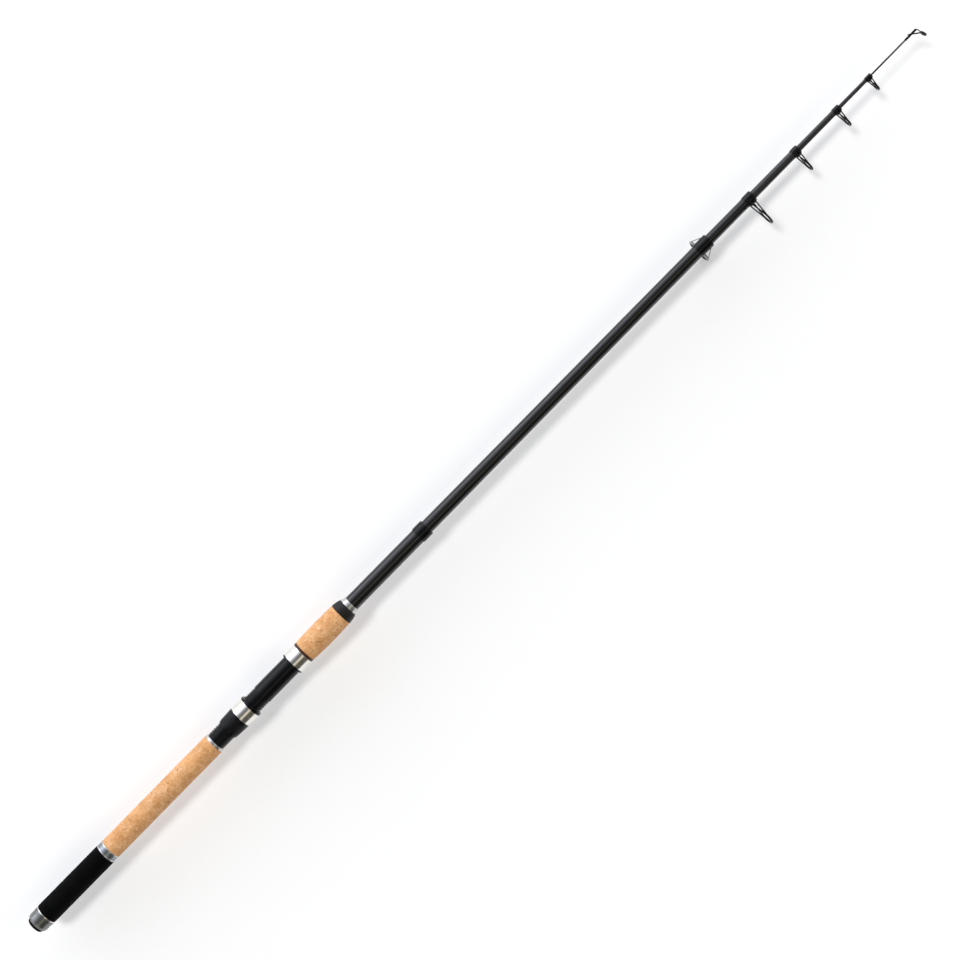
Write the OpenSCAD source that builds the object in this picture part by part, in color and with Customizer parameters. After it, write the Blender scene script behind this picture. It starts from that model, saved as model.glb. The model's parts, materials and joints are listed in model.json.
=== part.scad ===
// Telescopic spinning rod. A cork handle with a screw-down reel seat carries six sections
// that slide inside one another, and each section ends in a line guide.
// The rod lies along X, from the butt end at the origin to the tip. The reel hangs below (-Z).
// It is drawn as it lies in the photograph: the second section is out, the others are started.

/* [Butt cap] */
// Length of the cap, from the end of the rod to the foam grip
cap_len = 16; // [13:0.5:30]
// Diameter of the cap
cap_d = 20.4; // [18:0.1:30]
// Diameter of the flange at the front of the cap
cap_flange_d = 21; // [19:0.1:31]
// Length of the flange
cap_flange_len = 4; // [1:0.1:6]
// Diameter of the rubber bumper in the end of the cap
bumper_d = 16.6; // [9:0.1:17]
// Thickness of the bumper
bumper_len = 5; // [3:0.1:7]
// How far the bumper stands out of the cap
bumper_proud = 2.3; // [0.4:0.1:2.5]
// Diameter of the threaded plug that screws into the handle
plug_d = 11; // [9.5:0.1:12]
// Length of the plug
plug_len = 14; // [10:0.5:22]
// Lead of the plug's thread
plug_pitch = 2; // [1:0.1:3]
// Depth of the plug's thread
plug_thread_depth = 0.4; // [0.2:0.05:0.5]
// Diameter of the soft cushion in the nose of the plug
cushion_d = 8.6; // [5:0.1:9]
// Length of the cushion
cushion_len = 9; // [6:0.5:12]
// How far the cushion stands out of the plug
cushion_proud = 2; // [0.5:0.1:4]
// Length of the insert that the plug screws into
insert_len = 18; // [15:0.5:26]

/* [Grips] */
// Length of the foam grip at the butt
foam_len = 75.5; // [40:0.5:140]
// Diameter of the foam grip
foam_d = 21.3; // [20:0.1:32]
// Length of the bright ring between foam and cork
trim_ring_len = 7; // [2:0.1:15]
// Diameter of the bright ring
trim_ring_d = 21.1; // [20:0.1:32]
// Length of each raised rim of the bright ring
trim_rim_len = 1.2; // [0.5:0.1:3]
// Depth of the band between the rims
trim_band_depth = 0.25; // [0.1:0.05:0.6]
// Length of the rear cork grip
rear_cork_len = 132; // [80:1:220]
// Diameter of the rear cork grip
rear_cork_d = 20.7; // [20:0.1:32]
// Length of the bright cone between the rear cork and the reel seat
rear_check_len = 2.5; // [1:0.1:6]
// Length of the dark ring between the reel seat and the fore cork
fore_ring_len = 2.6; // [1:0.1:6]
// Diameter of the dark ring
fore_ring_d = 22.1; // [20:0.1:32]
// Length of the fore cork grip
fore_cork_len = 46; // [25:0.5:100]
// Diameter of the fore cork at its ends
fore_cork_d = 22.4; // [20:0.1:32]
// How much wider the fore cork is at its middle
fore_cork_swell = 1.2; // [0:0.1:4]
// Length of the black tapered collar in front of the fore cork
fore_collar_len = 9.2; // [5:0.1:20]
// Diameter of the tapered collar where it meets the cork
fore_collar_d = 22.8; // [20:0.1:32]
// Diameter of the tapered collar just behind its rounded nose
fore_collar_nose_d = 20.6; // [19:0.1:30]
// Length of the bright cone that closes the grip
front_check_len = 4.8; // [2:0.1:10]
// Diameter of that cone at its wide end
front_check_d = 18; // [17.5:0.1:26]
// Thickness of the cone's thin edge round the blank
check_edge = 0.4; // [0.2:0.05:1]
// Gap for glue between the grip pieces and the blank
glue_gap = 0.03; // [0.01:0.01:0.1]

/* [Reel seat] */
// Length of the reel seat
seat_len = 111.9; // [95:0.1:150]
// Diameter of the seat's barrel
seat_d = 19.2; // [18.6:0.1:26]
// Wall of the bushes between the blank and the seat
bush_wall = 0.45; // [0.2:0.05:0.6]
// Length of one bush between the blank and the seat
bush_len = 12; // [5:0.5:20]
// Length of the threaded part of the barrel
thread_len = 57; // [45:0.5:80]
// Lead of the seat's thread
thread_pitch = 2.7; // [1.5:0.1:3]
// Depth of the thread
thread_depth = 0.7; // [0.3:0.05:0.75]
// Width of the keyway that stops the sliding hood from turning
keyway_w = 4; // [2.5:0.1:6]
// Depth of the keyway
keyway_depth = 1; // [0.5:0.05:1.1]
// Distance from the back of the seat to the back of the lock nut
nut_set = 15; // [13.5:0.1:16]
// Length of the lock nut
nut_len = 15.9; // [10:0.1:22]
// Diameter of the nut's rear end
nut_rear_d = 21.2; // [20.6:0.1:28]
// Length of the bevelled lead at the nut's rear end
nut_lead = 2; // [0.5:0.1:5]
// Diameter of the nut's front end, against the hood
nut_front_d = 22.6; // [21:0.1:30]
// Diameter of the steel hoods
hood_d = 22.3; // [21.8:0.1:30]
// Length of a steel hood
hood_len = 12.7; // [9:0.1:20]
// Thickness of a hood's steel
hood_steel = 0.5; // [0.3:0.05:0.8]
// Length of the black lip at the mouth of the sliding hood
slide_lip_len = 2.3; // [0.8:0.1:4]
// Length of the black lip at the mouth of the fixed hood
fixed_lip_len = 1.5; // [0.6:0.1:4]
// How far the lips stand out round the steel
lip_proud = 0.2; // [0.1:0.05:1]
// Height of the pocket under the barrel that takes the reel's foot
pocket_height = 4.9; // [4.5:0.1:7]
// Width of the flat of the pocket
pocket_w = 9; // [7:0.1:11]
// Radius of the pocket's corners
pocket_round = 2.5; // [1.5:0.1:3]
// Thickness of the plastic under the pocket
pocket_wall = 0.9; // [0.6:0.05:1.5]
// Depth of plastic at the blind end of the pocket
pocket_end = 2; // [1:0.1:4]

/* [Sections] */
// Bare length of the handle section in front of the grip
bare_blank_len = 96.5; // [40:0.5:200]
// Wall of the handle section
handle_wall = 0.7; // [0.5:0.01:1]
// Wall of the sliding sections
section_wall = 0.47; // [0.4:0.01:0.6]
// Diameter of the rod at its very tip
tip_d = 1.5; // [1:0.05:2.5]
// Loss of diameter in each metre of section
taper = 3; // [2:0.05:4]
// Length that each section shows when it is pulled right out
reach = 366; // [364:1:420]
// Length that stays inside the section behind when it is pulled right out
overlap = 45; // [30:1:80]
// Radial clearance between sections at full reach
slide_clear = 0.04; // [0.02:0.01:0.08]
// Length of the plain collar at the end of the handle section
end_collar_len = 11.4; // [6:0.1:20]
// Wall of that collar
end_collar_wall = 0.7; // [0.4:0.05:1.5]
// Length that section 2 shows as the rod lies
drawn_2 = 362; // [60:1:364]
// Length that section 3 shows as the rod lies
drawn_3 = 56.2; // [20:0.1:360]
// Length that section 4 shows as the rod lies
drawn_4 = 58.7; // [20:0.1:360]
// Length that section 5 shows as the rod lies
drawn_5 = 52.6; // [20:0.1:360]
// Length that section 6 shows as the rod lies
drawn_6 = 40.7; // [20:0.1:360]
// Length that section 7, the tip, shows as the rod lies
drawn_7 = 57.2; // [20:0.1:360]

/* [All guides] */
// Wall of a guide's collar
collar_wall = 0.6; // [0.4:0.05:1]
// Wall of the thin skirt behind a collar
skirt_wall = 0.3; // [0.2:0.05:0.35]
// Radial clearance of a collar on its section
collar_clear = 0.03; // [0.01:0.01:0.08]
// How far the saddle under the legs stands out of the collar
saddle_drop = 1.1; // [0.5:0.1:1.5]
// Width of a leg
leg_w = 1.2; // [0.6:0.05:1.3]
// Thickness of a leg
leg_t = 0.8; // [0.4:0.05:0.8]
// How far a leg's foot runs up past the collar's side
leg_foot = 0.8; // [0.3:0.1:1.5]
// Width of the metal band round a ring
band_w = 1.5; // [1.3:0.05:3]
// Wall of the metal band
band_wall = 0.95; // [0.9:0.05:1.2]
// Width of a ceramic ring along the rod
ring_w = 1.8; // [1.5:0.05:1.9]
// Wall of a ceramic ring
ring_wall = 0.9; // [0.8:0.05:1.4]
// Length of the straight part of a ring's bore
ring_land = 0.6; // [0.5:0.05:1]

/* [Guide 1] */
// Length of the collar
guide_1_collar = 15; // [11:0.1:20]
// Length of the thin skirt at the back of the collar
guide_1_skirt = 3; // [0.5:0.1:5]
// How far the legs stand behind the middle of the collar
guide_1_setback = 1.5; // [0:0.1:2.2]
// Distance between the front and rear legs at the collar
guide_1_spread = 8.2; // [4:0.1:8.5]
// Bore of the ring
guide_1_bore = 20.3; // [12:0.1:24]
// Distance from the rod's axis to the ring's axis
guide_1_height = 27; // [24:0.1:40]
// Swing of the guide as the rod lies, from straight down towards -Y
guide_1_swing = 1.5; // [-180:0.5:180]

/* [Guide 2] */
// Length of the collar
guide_2_collar = 9.7; // [8:0.1:16]
// Distance between the front and rear legs at the collar
guide_2_spread = 5.6; // [3:0.1:6]
// Bore of the ring
guide_2_bore = 12.8; // [8:0.1:16]
// Distance from the rod's axis to the ring's axis
guide_2_height = 22; // [18:0.1:32]
// Swing of the guide as the rod lies, from straight down towards -Y
guide_2_swing = 88; // [-180:1:180]

/* [Guide 3] */
// Length of the collar
guide_3_collar = 7.6; // [7:0.1:14]
// Distance between the front and rear legs at the collar
guide_3_spread = 4; // [2:0.1:4.4]
// Bore of the ring
guide_3_bore = 9.3; // [6:0.1:12]
// Distance from the rod's axis to the ring's axis
guide_3_height = 16; // [13.5:0.1:24]
// Swing of the guide as the rod lies, from straight down towards -Y
guide_3_swing = 83; // [-180:1:180]

/* [Guide 4] */
// Length of the collar
guide_4_collar = 7.6; // [6.4:0.1:14]
// Distance between the front and rear legs at the collar
guide_4_spread = 4; // [2:0.1:4.4]
// Bore of the ring
guide_4_bore = 7.3; // [5:0.1:9]
// Distance from the rod's axis to the ring's axis
guide_4_height = 13.7; // [11:0.1:20]
// Swing of the guide as the rod lies, from straight down towards -Y
guide_4_swing = 83; // [-180:1:180]

/* [Guide 5] */
// Length of the collar
guide_5_collar = 7.3; // [6:0.1:12]
// Distance between the front and rear legs at the collar
guide_5_spread = 3.8; // [2:0.1:4.2]
// Bore of the ring
guide_5_bore = 4.8; // [3.5:0.1:7]
// Distance from the rod's axis to the ring's axis
guide_5_height = 10.6; // [8.6:0.1:16]
// Swing of the guide as the rod lies, from straight down towards -Y
guide_5_swing = 82; // [-180:1:180]

/* [Tip guide] */
// Length of the tube on the tip
tip_tube_len = 13.4; // [10:0.1:18]
// Wall of that tube
tip_tube_wall = 0.25; // [0.15:0.01:0.5]
// Bore of the tip ring
tip_bore = 2.8; // [2.2:0.1:4]
// Distance from the rod's axis to the tip ring's axis
tip_height = 7.4; // [6:0.1:10]
// Distance from the end of the tip to the middle of the ring
tip_ahead = 2.6; // [2.2:0.1:5]
// Forward lean of the tip ring
tip_lean = 14; // [0:1:25]
// Diameter of the wires that carry the tip ring
tip_wire_d = 0.9; // [0.6:0.05:1.1]
// Distance from the end of the tip back to the feet of the two bracing wires
tip_brace_back = 8.4; // [6:0.1:9.5]
// How far those feet stand out past the tip, away from the ring
tip_brace_rise = 2; // [0:0.1:2.5]
// Angle round the tip ring, from its crown, at which the bracing wires meet it
tip_brace_angle = 50; // [30:1:75]
// Swing of the tip guide as the rod lies, from straight down towards -Y
tip_swing = 86; // [-180:1:180]

/* [Hidden] */
$fn = 96;
// Facets of the rounded hood shapes
hood_fn = 40;
// Segments of a rounded edge in a turned outline
round_steps = 5;
// Points of the swelling outline of the fore cork
swell_steps = 10;
// Running clearances between pieces that move on one another
turn_clear = 0.06;
face_gap = 0.3;
thread_clear = 0.15;
hood_clear = 0.3;
key_clear = 0.25;
// Clearance between pieces that are bonded together
seat_clear = 0.02;
// Small bevel on the edges of rings and collars
bevel = 0.2;
// How deep a leg is sunk in the band that it joins
leg_sink = 0.08;
// Skirt of the guides that have no long one
short_skirt = 0.8;
// How far a cutting shape runs past what it cuts
cut_over = 1;
// Shares of a thread's lead that one flank and the crest take
flank_share = 0.3;
crest_share = 0.2;

// Places along the handle
foam_x = cap_len;
trim_x = foam_x + foam_len;
rear_cork_x = trim_x + trim_ring_len;
rear_check_x = rear_cork_x + rear_cork_len;
seat_x = rear_check_x + rear_check_len;
seat_end = seat_x + seat_len;
fore_ring_x = seat_end;
fore_cork_x = fore_ring_x + fore_ring_len;
fore_collar_x = fore_cork_x + fore_cork_len;
front_check_x = fore_collar_x + fore_collar_len;
bare_x = front_check_x + front_check_len;
handle_end = bare_x + bare_blank_len;

// Places along the reel seat
nut_x = seat_x + nut_set;
slide_hood_x = nut_x + nut_len + face_gap;
slide_lip_x = slide_hood_x + hood_len;
slide_mouth = slide_lip_x + slide_lip_len;
fixed_hood_x = seat_end - hood_len;
fixed_mouth = fixed_hood_x - fixed_lip_len;

// Sections: the handle is section 1 and the solid tip is the last one
drawn = [drawn_2, drawn_3, drawn_4, drawn_5, drawn_6, drawn_7];
last_section = len(drawn) + 1;
slope = taper / 2000;
function wall_of(k) = k == 1 ? handle_wall : section_wall;
function tip_x(k) = k <= 1 ? handle_end : tip_x(k - 1) + drawn[k - 2];
function tip_r(k) = k >= last_section ? tip_d / 2 : tip_r(k + 1) + slope * reach + slide_clear + wall_of(k);
function tube_r(k, x) = tip_r(k) + slope * (tip_x(k) - x);
function base_x(k) = tip_x(k) - reach - overlap;
function handle_r(x) = tube_r(1, x);

// Bore of the reel seat, round the bushes on the blank
seat_bore_r = handle_r(seat_x) + glue_gap + bush_wall + seat_clear;

// Guides: guide g sits on the end of section g + 1
collar_lens = [guide_1_collar, guide_2_collar, guide_3_collar, guide_4_collar, guide_5_collar];
spreads = [guide_1_spread, guide_2_spread, guide_3_spread, guide_4_spread, guide_5_spread];
bores = [guide_1_bore, guide_2_bore, guide_3_bore, guide_4_bore, guide_5_bore];
heights = [guide_1_height, guide_2_height, guide_3_height, guide_4_height, guide_5_height];
swings = [guide_1_swing, guide_2_swing, guide_3_swing, guide_4_swing, guide_5_swing];
function skirt_of(g) = g == 1 ? guide_1_skirt : short_skirt;
function setback_of(g) = g == 1 ? guide_1_setback : 0;
function guide_front(g) = tip_x(g + 1);
function guide_back(g) = guide_front(g) - collar_lens[g - 1];
function leg_mid(g) = guide_front(g) - collar_lens[g - 1] / 2 - setback_of(g);
function collar_bore_r(g) = tube_r(g + 1, guide_back(g)) + collar_clear;
function collar_r(g) = collar_bore_r(g) + collar_wall;
function ring_r(bore) = bore / 2 + ring_wall;
function band_r(bore) = ring_r(bore) + seat_clear + band_wall;

// Tip guide
tip_tube_bore_r = tube_r(last_section, tip_x(last_section) - tip_tube_len) + collar_clear;
tip_tube_r = tip_tube_bore_r + tip_tube_wall;
tip_tube_x = tip_x(last_section) - tip_tube_len;
tip_tube_end = tip_x(last_section) + face_gap;
tip_ring_x = tip_x(last_section) + tip_ahead;

// Colours of the finishes
gunmetal = [0.42, 0.44, 0.45];
black_rubber = [0.05, 0.05, 0.05];
black_foam = [0.06, 0.06, 0.065];
bright_metal = [0.8, 0.8, 0.8];
cork = [0.85, 0.64, 0.4];
dark_wood = [0.24, 0.12, 0.08];
black_plastic = [0.07, 0.07, 0.085];
blank_grey = [0.12, 0.12, 0.14];
guide_black = [0.09, 0.09, 0.09];
ring_grey = [0.25, 0.26, 0.26];

// A solid of revolution about X, from an outline of [radius, x] points
module turned(outline) {
    rotate([0, 90, 0]) rotate_extrude() polygon(outline);
}

// A straight tube about X with bevelled outer edges, whose bore follows the tapered blank
module sleeve(x0, x1, r, edge) {
    turned([
        [handle_r(x0) + glue_gap, x0],
        [r - edge, x0],
        [r, x0 + edge],
        [r, x1 - edge],
        [r - edge, x1],
        [handle_r(x1) + glue_gap, x1],
    ]);
}

// A round rod between two points
module rod(a, b, d) {
    v = b - a;
    translate(a)
        rotate([0, acos(v[2] / norm(v)), atan2(v[1], v[0])])
            cylinder(h = norm(v), d = d);
}

// Points of a round edge in an outline, from angle a0 to a1
function edge_arc(centre, r, a0, a1) =
    [for (i = [0 : round_steps]) let (a = a0 + (a1 - a0) * i / round_steps)
        [centre[0] + r * cos(a), centre[1] + r * sin(a)]];

// Outline of a thread, drawn as one ridge a turn from x0
function ridges(x0, pitch, turns, root, crest) =
    [for (i = [0 : turns - 1]) each [
        [root, x0 + pitch * i],
        [crest, x0 + pitch * (i + flank_share)],
        [crest, x0 + pitch * (i + flank_share + crest_share)],
        [root, x0 + pitch * (i + 2 * flank_share + crest_share)],
    ]];

// Butt cap

cap_back = bumper_proud;
cap_front = cap_len - face_gap;
recess_r = bumper_d / 2 + turn_clear;
recess_floor = bumper_len + face_gap;
cap_corner = cap_d / 2 - recess_r - bevel;
plug_end = cap_len + plug_len;
plug_root = plug_d / 2 - plug_thread_depth;
plug_turns = floor(plug_len / plug_pitch) - 1;
cushion_x = plug_end + cushion_proud - cushion_len;

module butt_cap() {
    cushion_r = cushion_d / 2 + seat_clear;
    color(gunmetal) turned(concat(
        [[0, recess_floor], [recess_r, recess_floor], [recess_r, cap_back]],
        edge_arc([cap_d / 2 - cap_corner, cap_back + cap_corner], cap_corner, -90, 0),
        [
            [cap_d / 2, cap_front - cap_flange_len],
            [cap_flange_d / 2, cap_front - cap_flange_len + bevel],
            [cap_flange_d / 2, cap_front - bevel],
            [cap_flange_d / 2 - bevel, cap_front],
            [plug_root, cap_front],
        ],
        ridges(cap_len, plug_pitch, plug_turns, plug_root, plug_d / 2),
        [[plug_root, plug_end], [cushion_r, plug_end], [cushion_r, cushion_x], [0, cushion_x]]
    ));
}

module butt_bumper() {
    r = bumper_d / 2;
    color(black_rubber) turned(concat(
        [[0, bumper_len], [0, 0]],
        edge_arc([r - bumper_proud, bumper_proud], bumper_proud, -90, 0),
        [[r, bumper_len]]
    ));
}

module cap_cushion() {
    color(black_rubber)
        translate([cushion_x, 0, 0]) rotate([0, 90, 0]) cylinder(h = cushion_len, d = cushion_d);
}

module butt_insert() {
    bore = plug_d / 2 + turn_clear;
    x1 = cap_len + insert_len;
    color(bright_metal) turned([
        [bore, cap_len],
        [handle_r(cap_len) - handle_wall - seat_clear, cap_len],
        [handle_r(x1) - handle_wall - seat_clear, x1],
        [bore, x1],
    ]);
}

// Grips

module foam_grip() {
    color(black_foam) sleeve(foam_x, trim_x, foam_d / 2, 2 * bevel);
}

module grip_trim_ring() {
    r = trim_ring_d / 2;
    band_r = r - trim_band_depth;
    color(bright_metal) turned([
        [handle_r(trim_x) + glue_gap, trim_x],
        [r - bevel, trim_x],
        [r, trim_x + bevel],
        [r, trim_x + trim_rim_len],
        [band_r, trim_x + trim_rim_len + trim_band_depth],
        [band_r, rear_cork_x - trim_rim_len - trim_band_depth],
        [r, rear_cork_x - trim_rim_len],
        [r, rear_cork_x - bevel],
        [r - bevel, rear_cork_x],
        [handle_r(rear_cork_x) + glue_gap, rear_cork_x],
    ]);
}

module rear_cork_grip() {
    color(cork) sleeve(rear_cork_x, rear_check_x, rear_cork_d / 2, bevel);
}

module rear_winding_check() {
    color(bright_metal) turned([
        [handle_r(rear_check_x) + glue_gap, rear_check_x],
        [rear_cork_d / 2, rear_check_x],
        [rear_cork_d / 2, rear_check_x + bevel],
        [seat_d / 2, seat_x],
        [handle_r(seat_x) + glue_gap, seat_x],
    ]);
}

module fore_trim_ring() {
    color(dark_wood) sleeve(fore_ring_x, fore_cork_x, fore_ring_d / 2, bevel);
}

module fore_cork_grip() {
    function swell_r(t) = fore_cork_d / 2 + fore_cork_swell / 2 * sin(180 * t);
    color(cork) turned(concat(
        [[handle_r(fore_cork_x) + glue_gap, fore_cork_x]],
        [for (i = [0 : swell_steps]) let (t = i / swell_steps)
            [swell_r(t), fore_cork_x + t * fore_cork_len]],
        [[handle_r(fore_collar_x) + glue_gap, fore_collar_x]]
    ));
}

module fore_end_collar() {
    nose = fore_collar_nose_d / 2;
    nose_round = nose - front_check_d / 2;
    color(black_plastic) turned(concat(
        [
            [handle_r(fore_collar_x) + glue_gap, fore_collar_x],
            [fore_collar_d / 2, fore_collar_x],
        ],
        edge_arc([nose - nose_round, front_check_x - nose_round], nose_round, 0, 90),
        [[handle_r(front_check_x) + glue_gap, front_check_x]]
    ));
}

module front_winding_check() {
    color(bright_metal) turned([
        [handle_r(front_check_x) + glue_gap, front_check_x],
        [front_check_d / 2, front_check_x],
        [front_check_d / 2, front_check_x + bevel],
        [handle_r(bare_x) + glue_gap + check_edge, bare_x],
        [handle_r(bare_x) + glue_gap, bare_x],
    ]);
}

// Reel seat

thread_turns = floor(thread_len / thread_pitch);
keyway_len = thread_len + hood_len;

module reel_seat_body() {
    crest = seat_d / 2 - bevel / 2;
    root = crest - thread_depth;
    x0 = seat_x + thread_pitch / 2;
    color(black_plastic) difference() {
        turned(concat(
            [[seat_bore_r, seat_x], [root, seat_x]],
            ridges(x0, thread_pitch, thread_turns, root, crest),
            [
                [root, x0 + thread_pitch * thread_turns],
                [seat_d / 2, x0 + thread_pitch * (thread_turns + flank_share)],
                [seat_d / 2, seat_end],
                [seat_bore_r, seat_end],
            ]
        ));
        translate([seat_x - cut_over, -keyway_w / 2, -seat_d / 2 - cut_over])
            cube([keyway_len + cut_over, keyway_w, keyway_depth + cut_over]);
    }
}

module seat_bushes() {
    inset = bush_len / 2;
    color(cork) for (x = [seat_x + inset, (seat_x + seat_end - bush_len) / 2, seat_end - bush_len - inset])
        turned([
            [handle_r(x) + glue_gap, x],
            [seat_bore_r - seat_clear, x],
            [seat_bore_r - seat_clear, x + bush_len],
            [handle_r(x + bush_len) + glue_gap, x + bush_len],
        ]);
}

module lock_nut() {
    bore = seat_d / 2 + thread_clear;
    x1 = nut_x + nut_len;
    color(black_plastic) turned([
        [bore, nut_x],
        [nut_rear_d / 2 - 2 * bevel, nut_x],
        [nut_rear_d / 2, nut_x + nut_lead],
        [nut_front_d / 2, x1 - bevel],
        [nut_front_d / 2 - bevel, x1],
        [bore, x1],
    ]);
}

// Height of the centres of the pocket's bottom corners
pocket_low = seat_d / 2 + pocket_height - pocket_round;

// Outline of a hood, seen along the rod: a round barrel drawn down over the foot pocket
module hood_outline(r, corner) {
    hull() {
        circle(r = r, $fn = 2 * hood_fn);
        for (side = [-1, 1])
            translate([side * (pocket_w / 2), -pocket_low]) circle(r = corner, $fn = hood_fn);
    }
}

// The same outline as a solid along X
module hood_solid(x0, x1, r, corner) {
    translate([x0, 0, 0]) rotate([90, 0, 90]) linear_extrude(x1 - x0) hood_outline(r, corner);
}

hood_r = hood_d / 2;
liner_r = hood_r - hood_steel - seat_clear;
liner_corner = pocket_round + pocket_wall;
steel_corner = liner_corner + seat_clear + hood_steel;

module hood_steel_shell(x0, x1) {
    color(bright_metal) difference() {
        hood_solid(x0, x1, hood_r, steel_corner);
        hood_solid(x0 - cut_over, x1 + cut_over, liner_r + seat_clear, liner_corner + seat_clear);
    }
}

// The plastic in a hood: a barrel with a lip at its mouth and a blind pocket under the bore
module hood_plastic(steel_x0, steel_x1, lip_x0, lip_x1, pocket_x0, pocket_x1, bore_r) {
    color(black_plastic) difference() {
        union() {
            hood_solid(steel_x0, steel_x1, liner_r, liner_corner);
            hood_solid(lip_x0, lip_x1, hood_r + lip_proud, steel_corner + lip_proud);
        }
        translate([min(steel_x0, lip_x0) - cut_over, 0, 0]) rotate([0, 90, 0])
            cylinder(h = steel_x1 - steel_x0 + lip_x1 - lip_x0 + 2 * cut_over, r = bore_r);
        hood_solid(pocket_x0, pocket_x1, seat_d / 2, pocket_round);
    }
}

module sliding_hood_steel() {
    hood_steel_shell(slide_hood_x, slide_lip_x);
}

module sliding_hood_liner() {
    key_depth = keyway_depth + hood_clear - key_clear;
    color(black_plastic) union() {
        hood_plastic(
            slide_hood_x, slide_lip_x, slide_lip_x, slide_mouth,
            slide_hood_x + pocket_end, slide_mouth + cut_over, seat_d / 2 + hood_clear
        );
        translate([slide_hood_x, -keyway_w / 2 + key_clear, -seat_d / 2 - hood_clear - bevel])
            cube([pocket_end, keyway_w - 2 * key_clear, key_depth + bevel]);
    }
}

module fixed_hood_steel() {
    hood_steel_shell(fixed_hood_x, seat_end);
}

module fixed_hood_liner() {
    hood_plastic(
        fixed_hood_x, seat_end, fixed_mouth, fixed_hood_x,
        fixed_mouth - cut_over, seat_end - pocket_end, seat_d / 2 + seat_clear
    );
}

// Sections

module handle_tube() {
    color(blank_grey) turned([
        [handle_r(cap_len) - handle_wall, cap_len],
        [handle_r(cap_len), cap_len],
        [handle_r(handle_end), handle_end],
        [handle_r(handle_end) - handle_wall, handle_end],
    ]);
}

module handle_end_collar() {
    x0 = handle_end - end_collar_len;
    bore = handle_r(x0) + glue_gap;
    color(black_plastic) turned([
        [bore, x0],
        [bore + end_collar_wall - bevel, x0],
        [bore + end_collar_wall, x0 + bevel],
        [bore + end_collar_wall, handle_end - bevel],
        [bore + end_collar_wall - bevel, handle_end],
        [bore, handle_end],
    ]);
}

module section_tube(k) {
    x0 = base_x(k);
    x1 = tip_x(k);
    solid = k == last_section;
    color(blank_grey) turned([
        [solid ? 0 : tube_r(k, x0) - section_wall, x0],
        [tube_r(k, x0), x0],
        [tube_r(k, x1), x1],
        [solid ? 0 : tube_r(k, x1) - section_wall, x1],
    ]);
}

// Guides

module guide_collar(g) {
    x0 = guide_back(g);
    x1 = guide_front(g);
    step = x0 + skirt_of(g);
    bore = collar_bore_r(g);
    r = collar_r(g);
    saddle_len = spreads[g - 1] + leg_w + 2 * bevel;
    color(black_plastic) rotate([-swings[g - 1], 0, 0]) difference() {
        union() {
            turned([
                [0, x0],
                [bore + skirt_wall, x0],
                [bore + skirt_wall, step],
                [r - bevel, step],
                [r, step + bevel],
                [r, x1 - bevel],
                [r - bevel, x1],
                [0, x1],
            ]);
            translate([max(leg_mid(g) - saddle_len / 2, step + bevel), 0, -saddle_drop])
                rotate([0, 90, 0])
                    cylinder(h = min(saddle_len, x1 - bevel - step - 2 * bevel), r = r - bevel);
        }
        translate([x0 - cut_over, 0, 0]) rotate([0, 90, 0]) cylinder(h = x1 - x0 + 2 * cut_over, r = bore);
    }
}

// A pair of legs on one side, from the collar to the band, flat on a plane that touches both
module guide_legs(g) {
    near_r = collar_r(g) + seat_clear + leg_t;
    far_r = band_r(bores[g - 1]) - leg_sink;
    h = heights[g - 1];
    lift = asin((far_r - near_r) / h);
    run = h * cos(lift);
    near = spreads[g - 1] / 2;
    far = (band_w - leg_w) / 2;
    translate([leg_mid(g), near_r * cos(lift), near_r * sin(lift)])
        rotate([lift - 90, 0, 0]) translate([0, 0, -leg_t]) linear_extrude(leg_t)
            for (end = [-1, 1]) polygon([
                [end * near - leg_w / 2, -leg_foot],
                [end * near + leg_w / 2, -leg_foot],
                [end * far + leg_w / 2, run + leg_w / 2],
                [end * far - leg_w / 2, run + leg_w / 2],
            ]);
}

// The metal band round a ring, about X
module ring_band(bore) {
    r0 = ring_r(bore) + seat_clear;
    r1 = band_r(bore);
    turned([
        [r0, -band_w / 2],
        [r1 - bevel, -band_w / 2],
        [r1, -band_w / 2 + bevel],
        [r1, band_w / 2 - bevel],
        [r1 - bevel, band_w / 2],
        [r0, band_w / 2],
    ]);
}

// A ceramic ring about X, rounded into its bore
module line_ring(bore) {
    r0 = bore / 2;
    r1 = ring_r(bore);
    edge = (ring_w - ring_land) / 2;
    color(ring_grey) turned(concat(
        edge_arc([r0 + edge, -ring_land / 2], edge, 270, 180),
        edge_arc([r0 + edge, ring_land / 2], edge, 180, 90),
        [[r1, ring_w / 2], [r1, -ring_w / 2]]
    ));
}

module guide_frame(g) {
    color(guide_black) rotate([-swings[g - 1], 0, 0]) union() {
        for (side = [0, 1]) mirror([0, side, 0]) guide_legs(g);
        translate([leg_mid(g), 0, -heights[g - 1]]) ring_band(bores[g - 1]);
    }
}

module guide_ring(g) {
    rotate([-swings[g - 1], 0, 0])
        translate([leg_mid(g), 0, -heights[g - 1]]) line_ring(bores[g - 1]);
}

// Tip guide

module tip_guide_tube() {
    color(guide_black) turned([
        [tip_tube_bore_r, tip_tube_x],
        [tip_tube_r, tip_tube_x],
        [tip_tube_r, tip_tube_end + tip_tube_wall],
        [0, tip_tube_end + tip_tube_wall],
        [0, tip_tube_end],
        [tip_tube_bore_r, tip_tube_end],
    ]);
}

// Puts a shape made about X at the tip ring's place
module at_tip_ring() {
    translate([tip_ring_x, 0, -tip_height]) rotate([0, -tip_lean, 0]) children();
}

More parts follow.
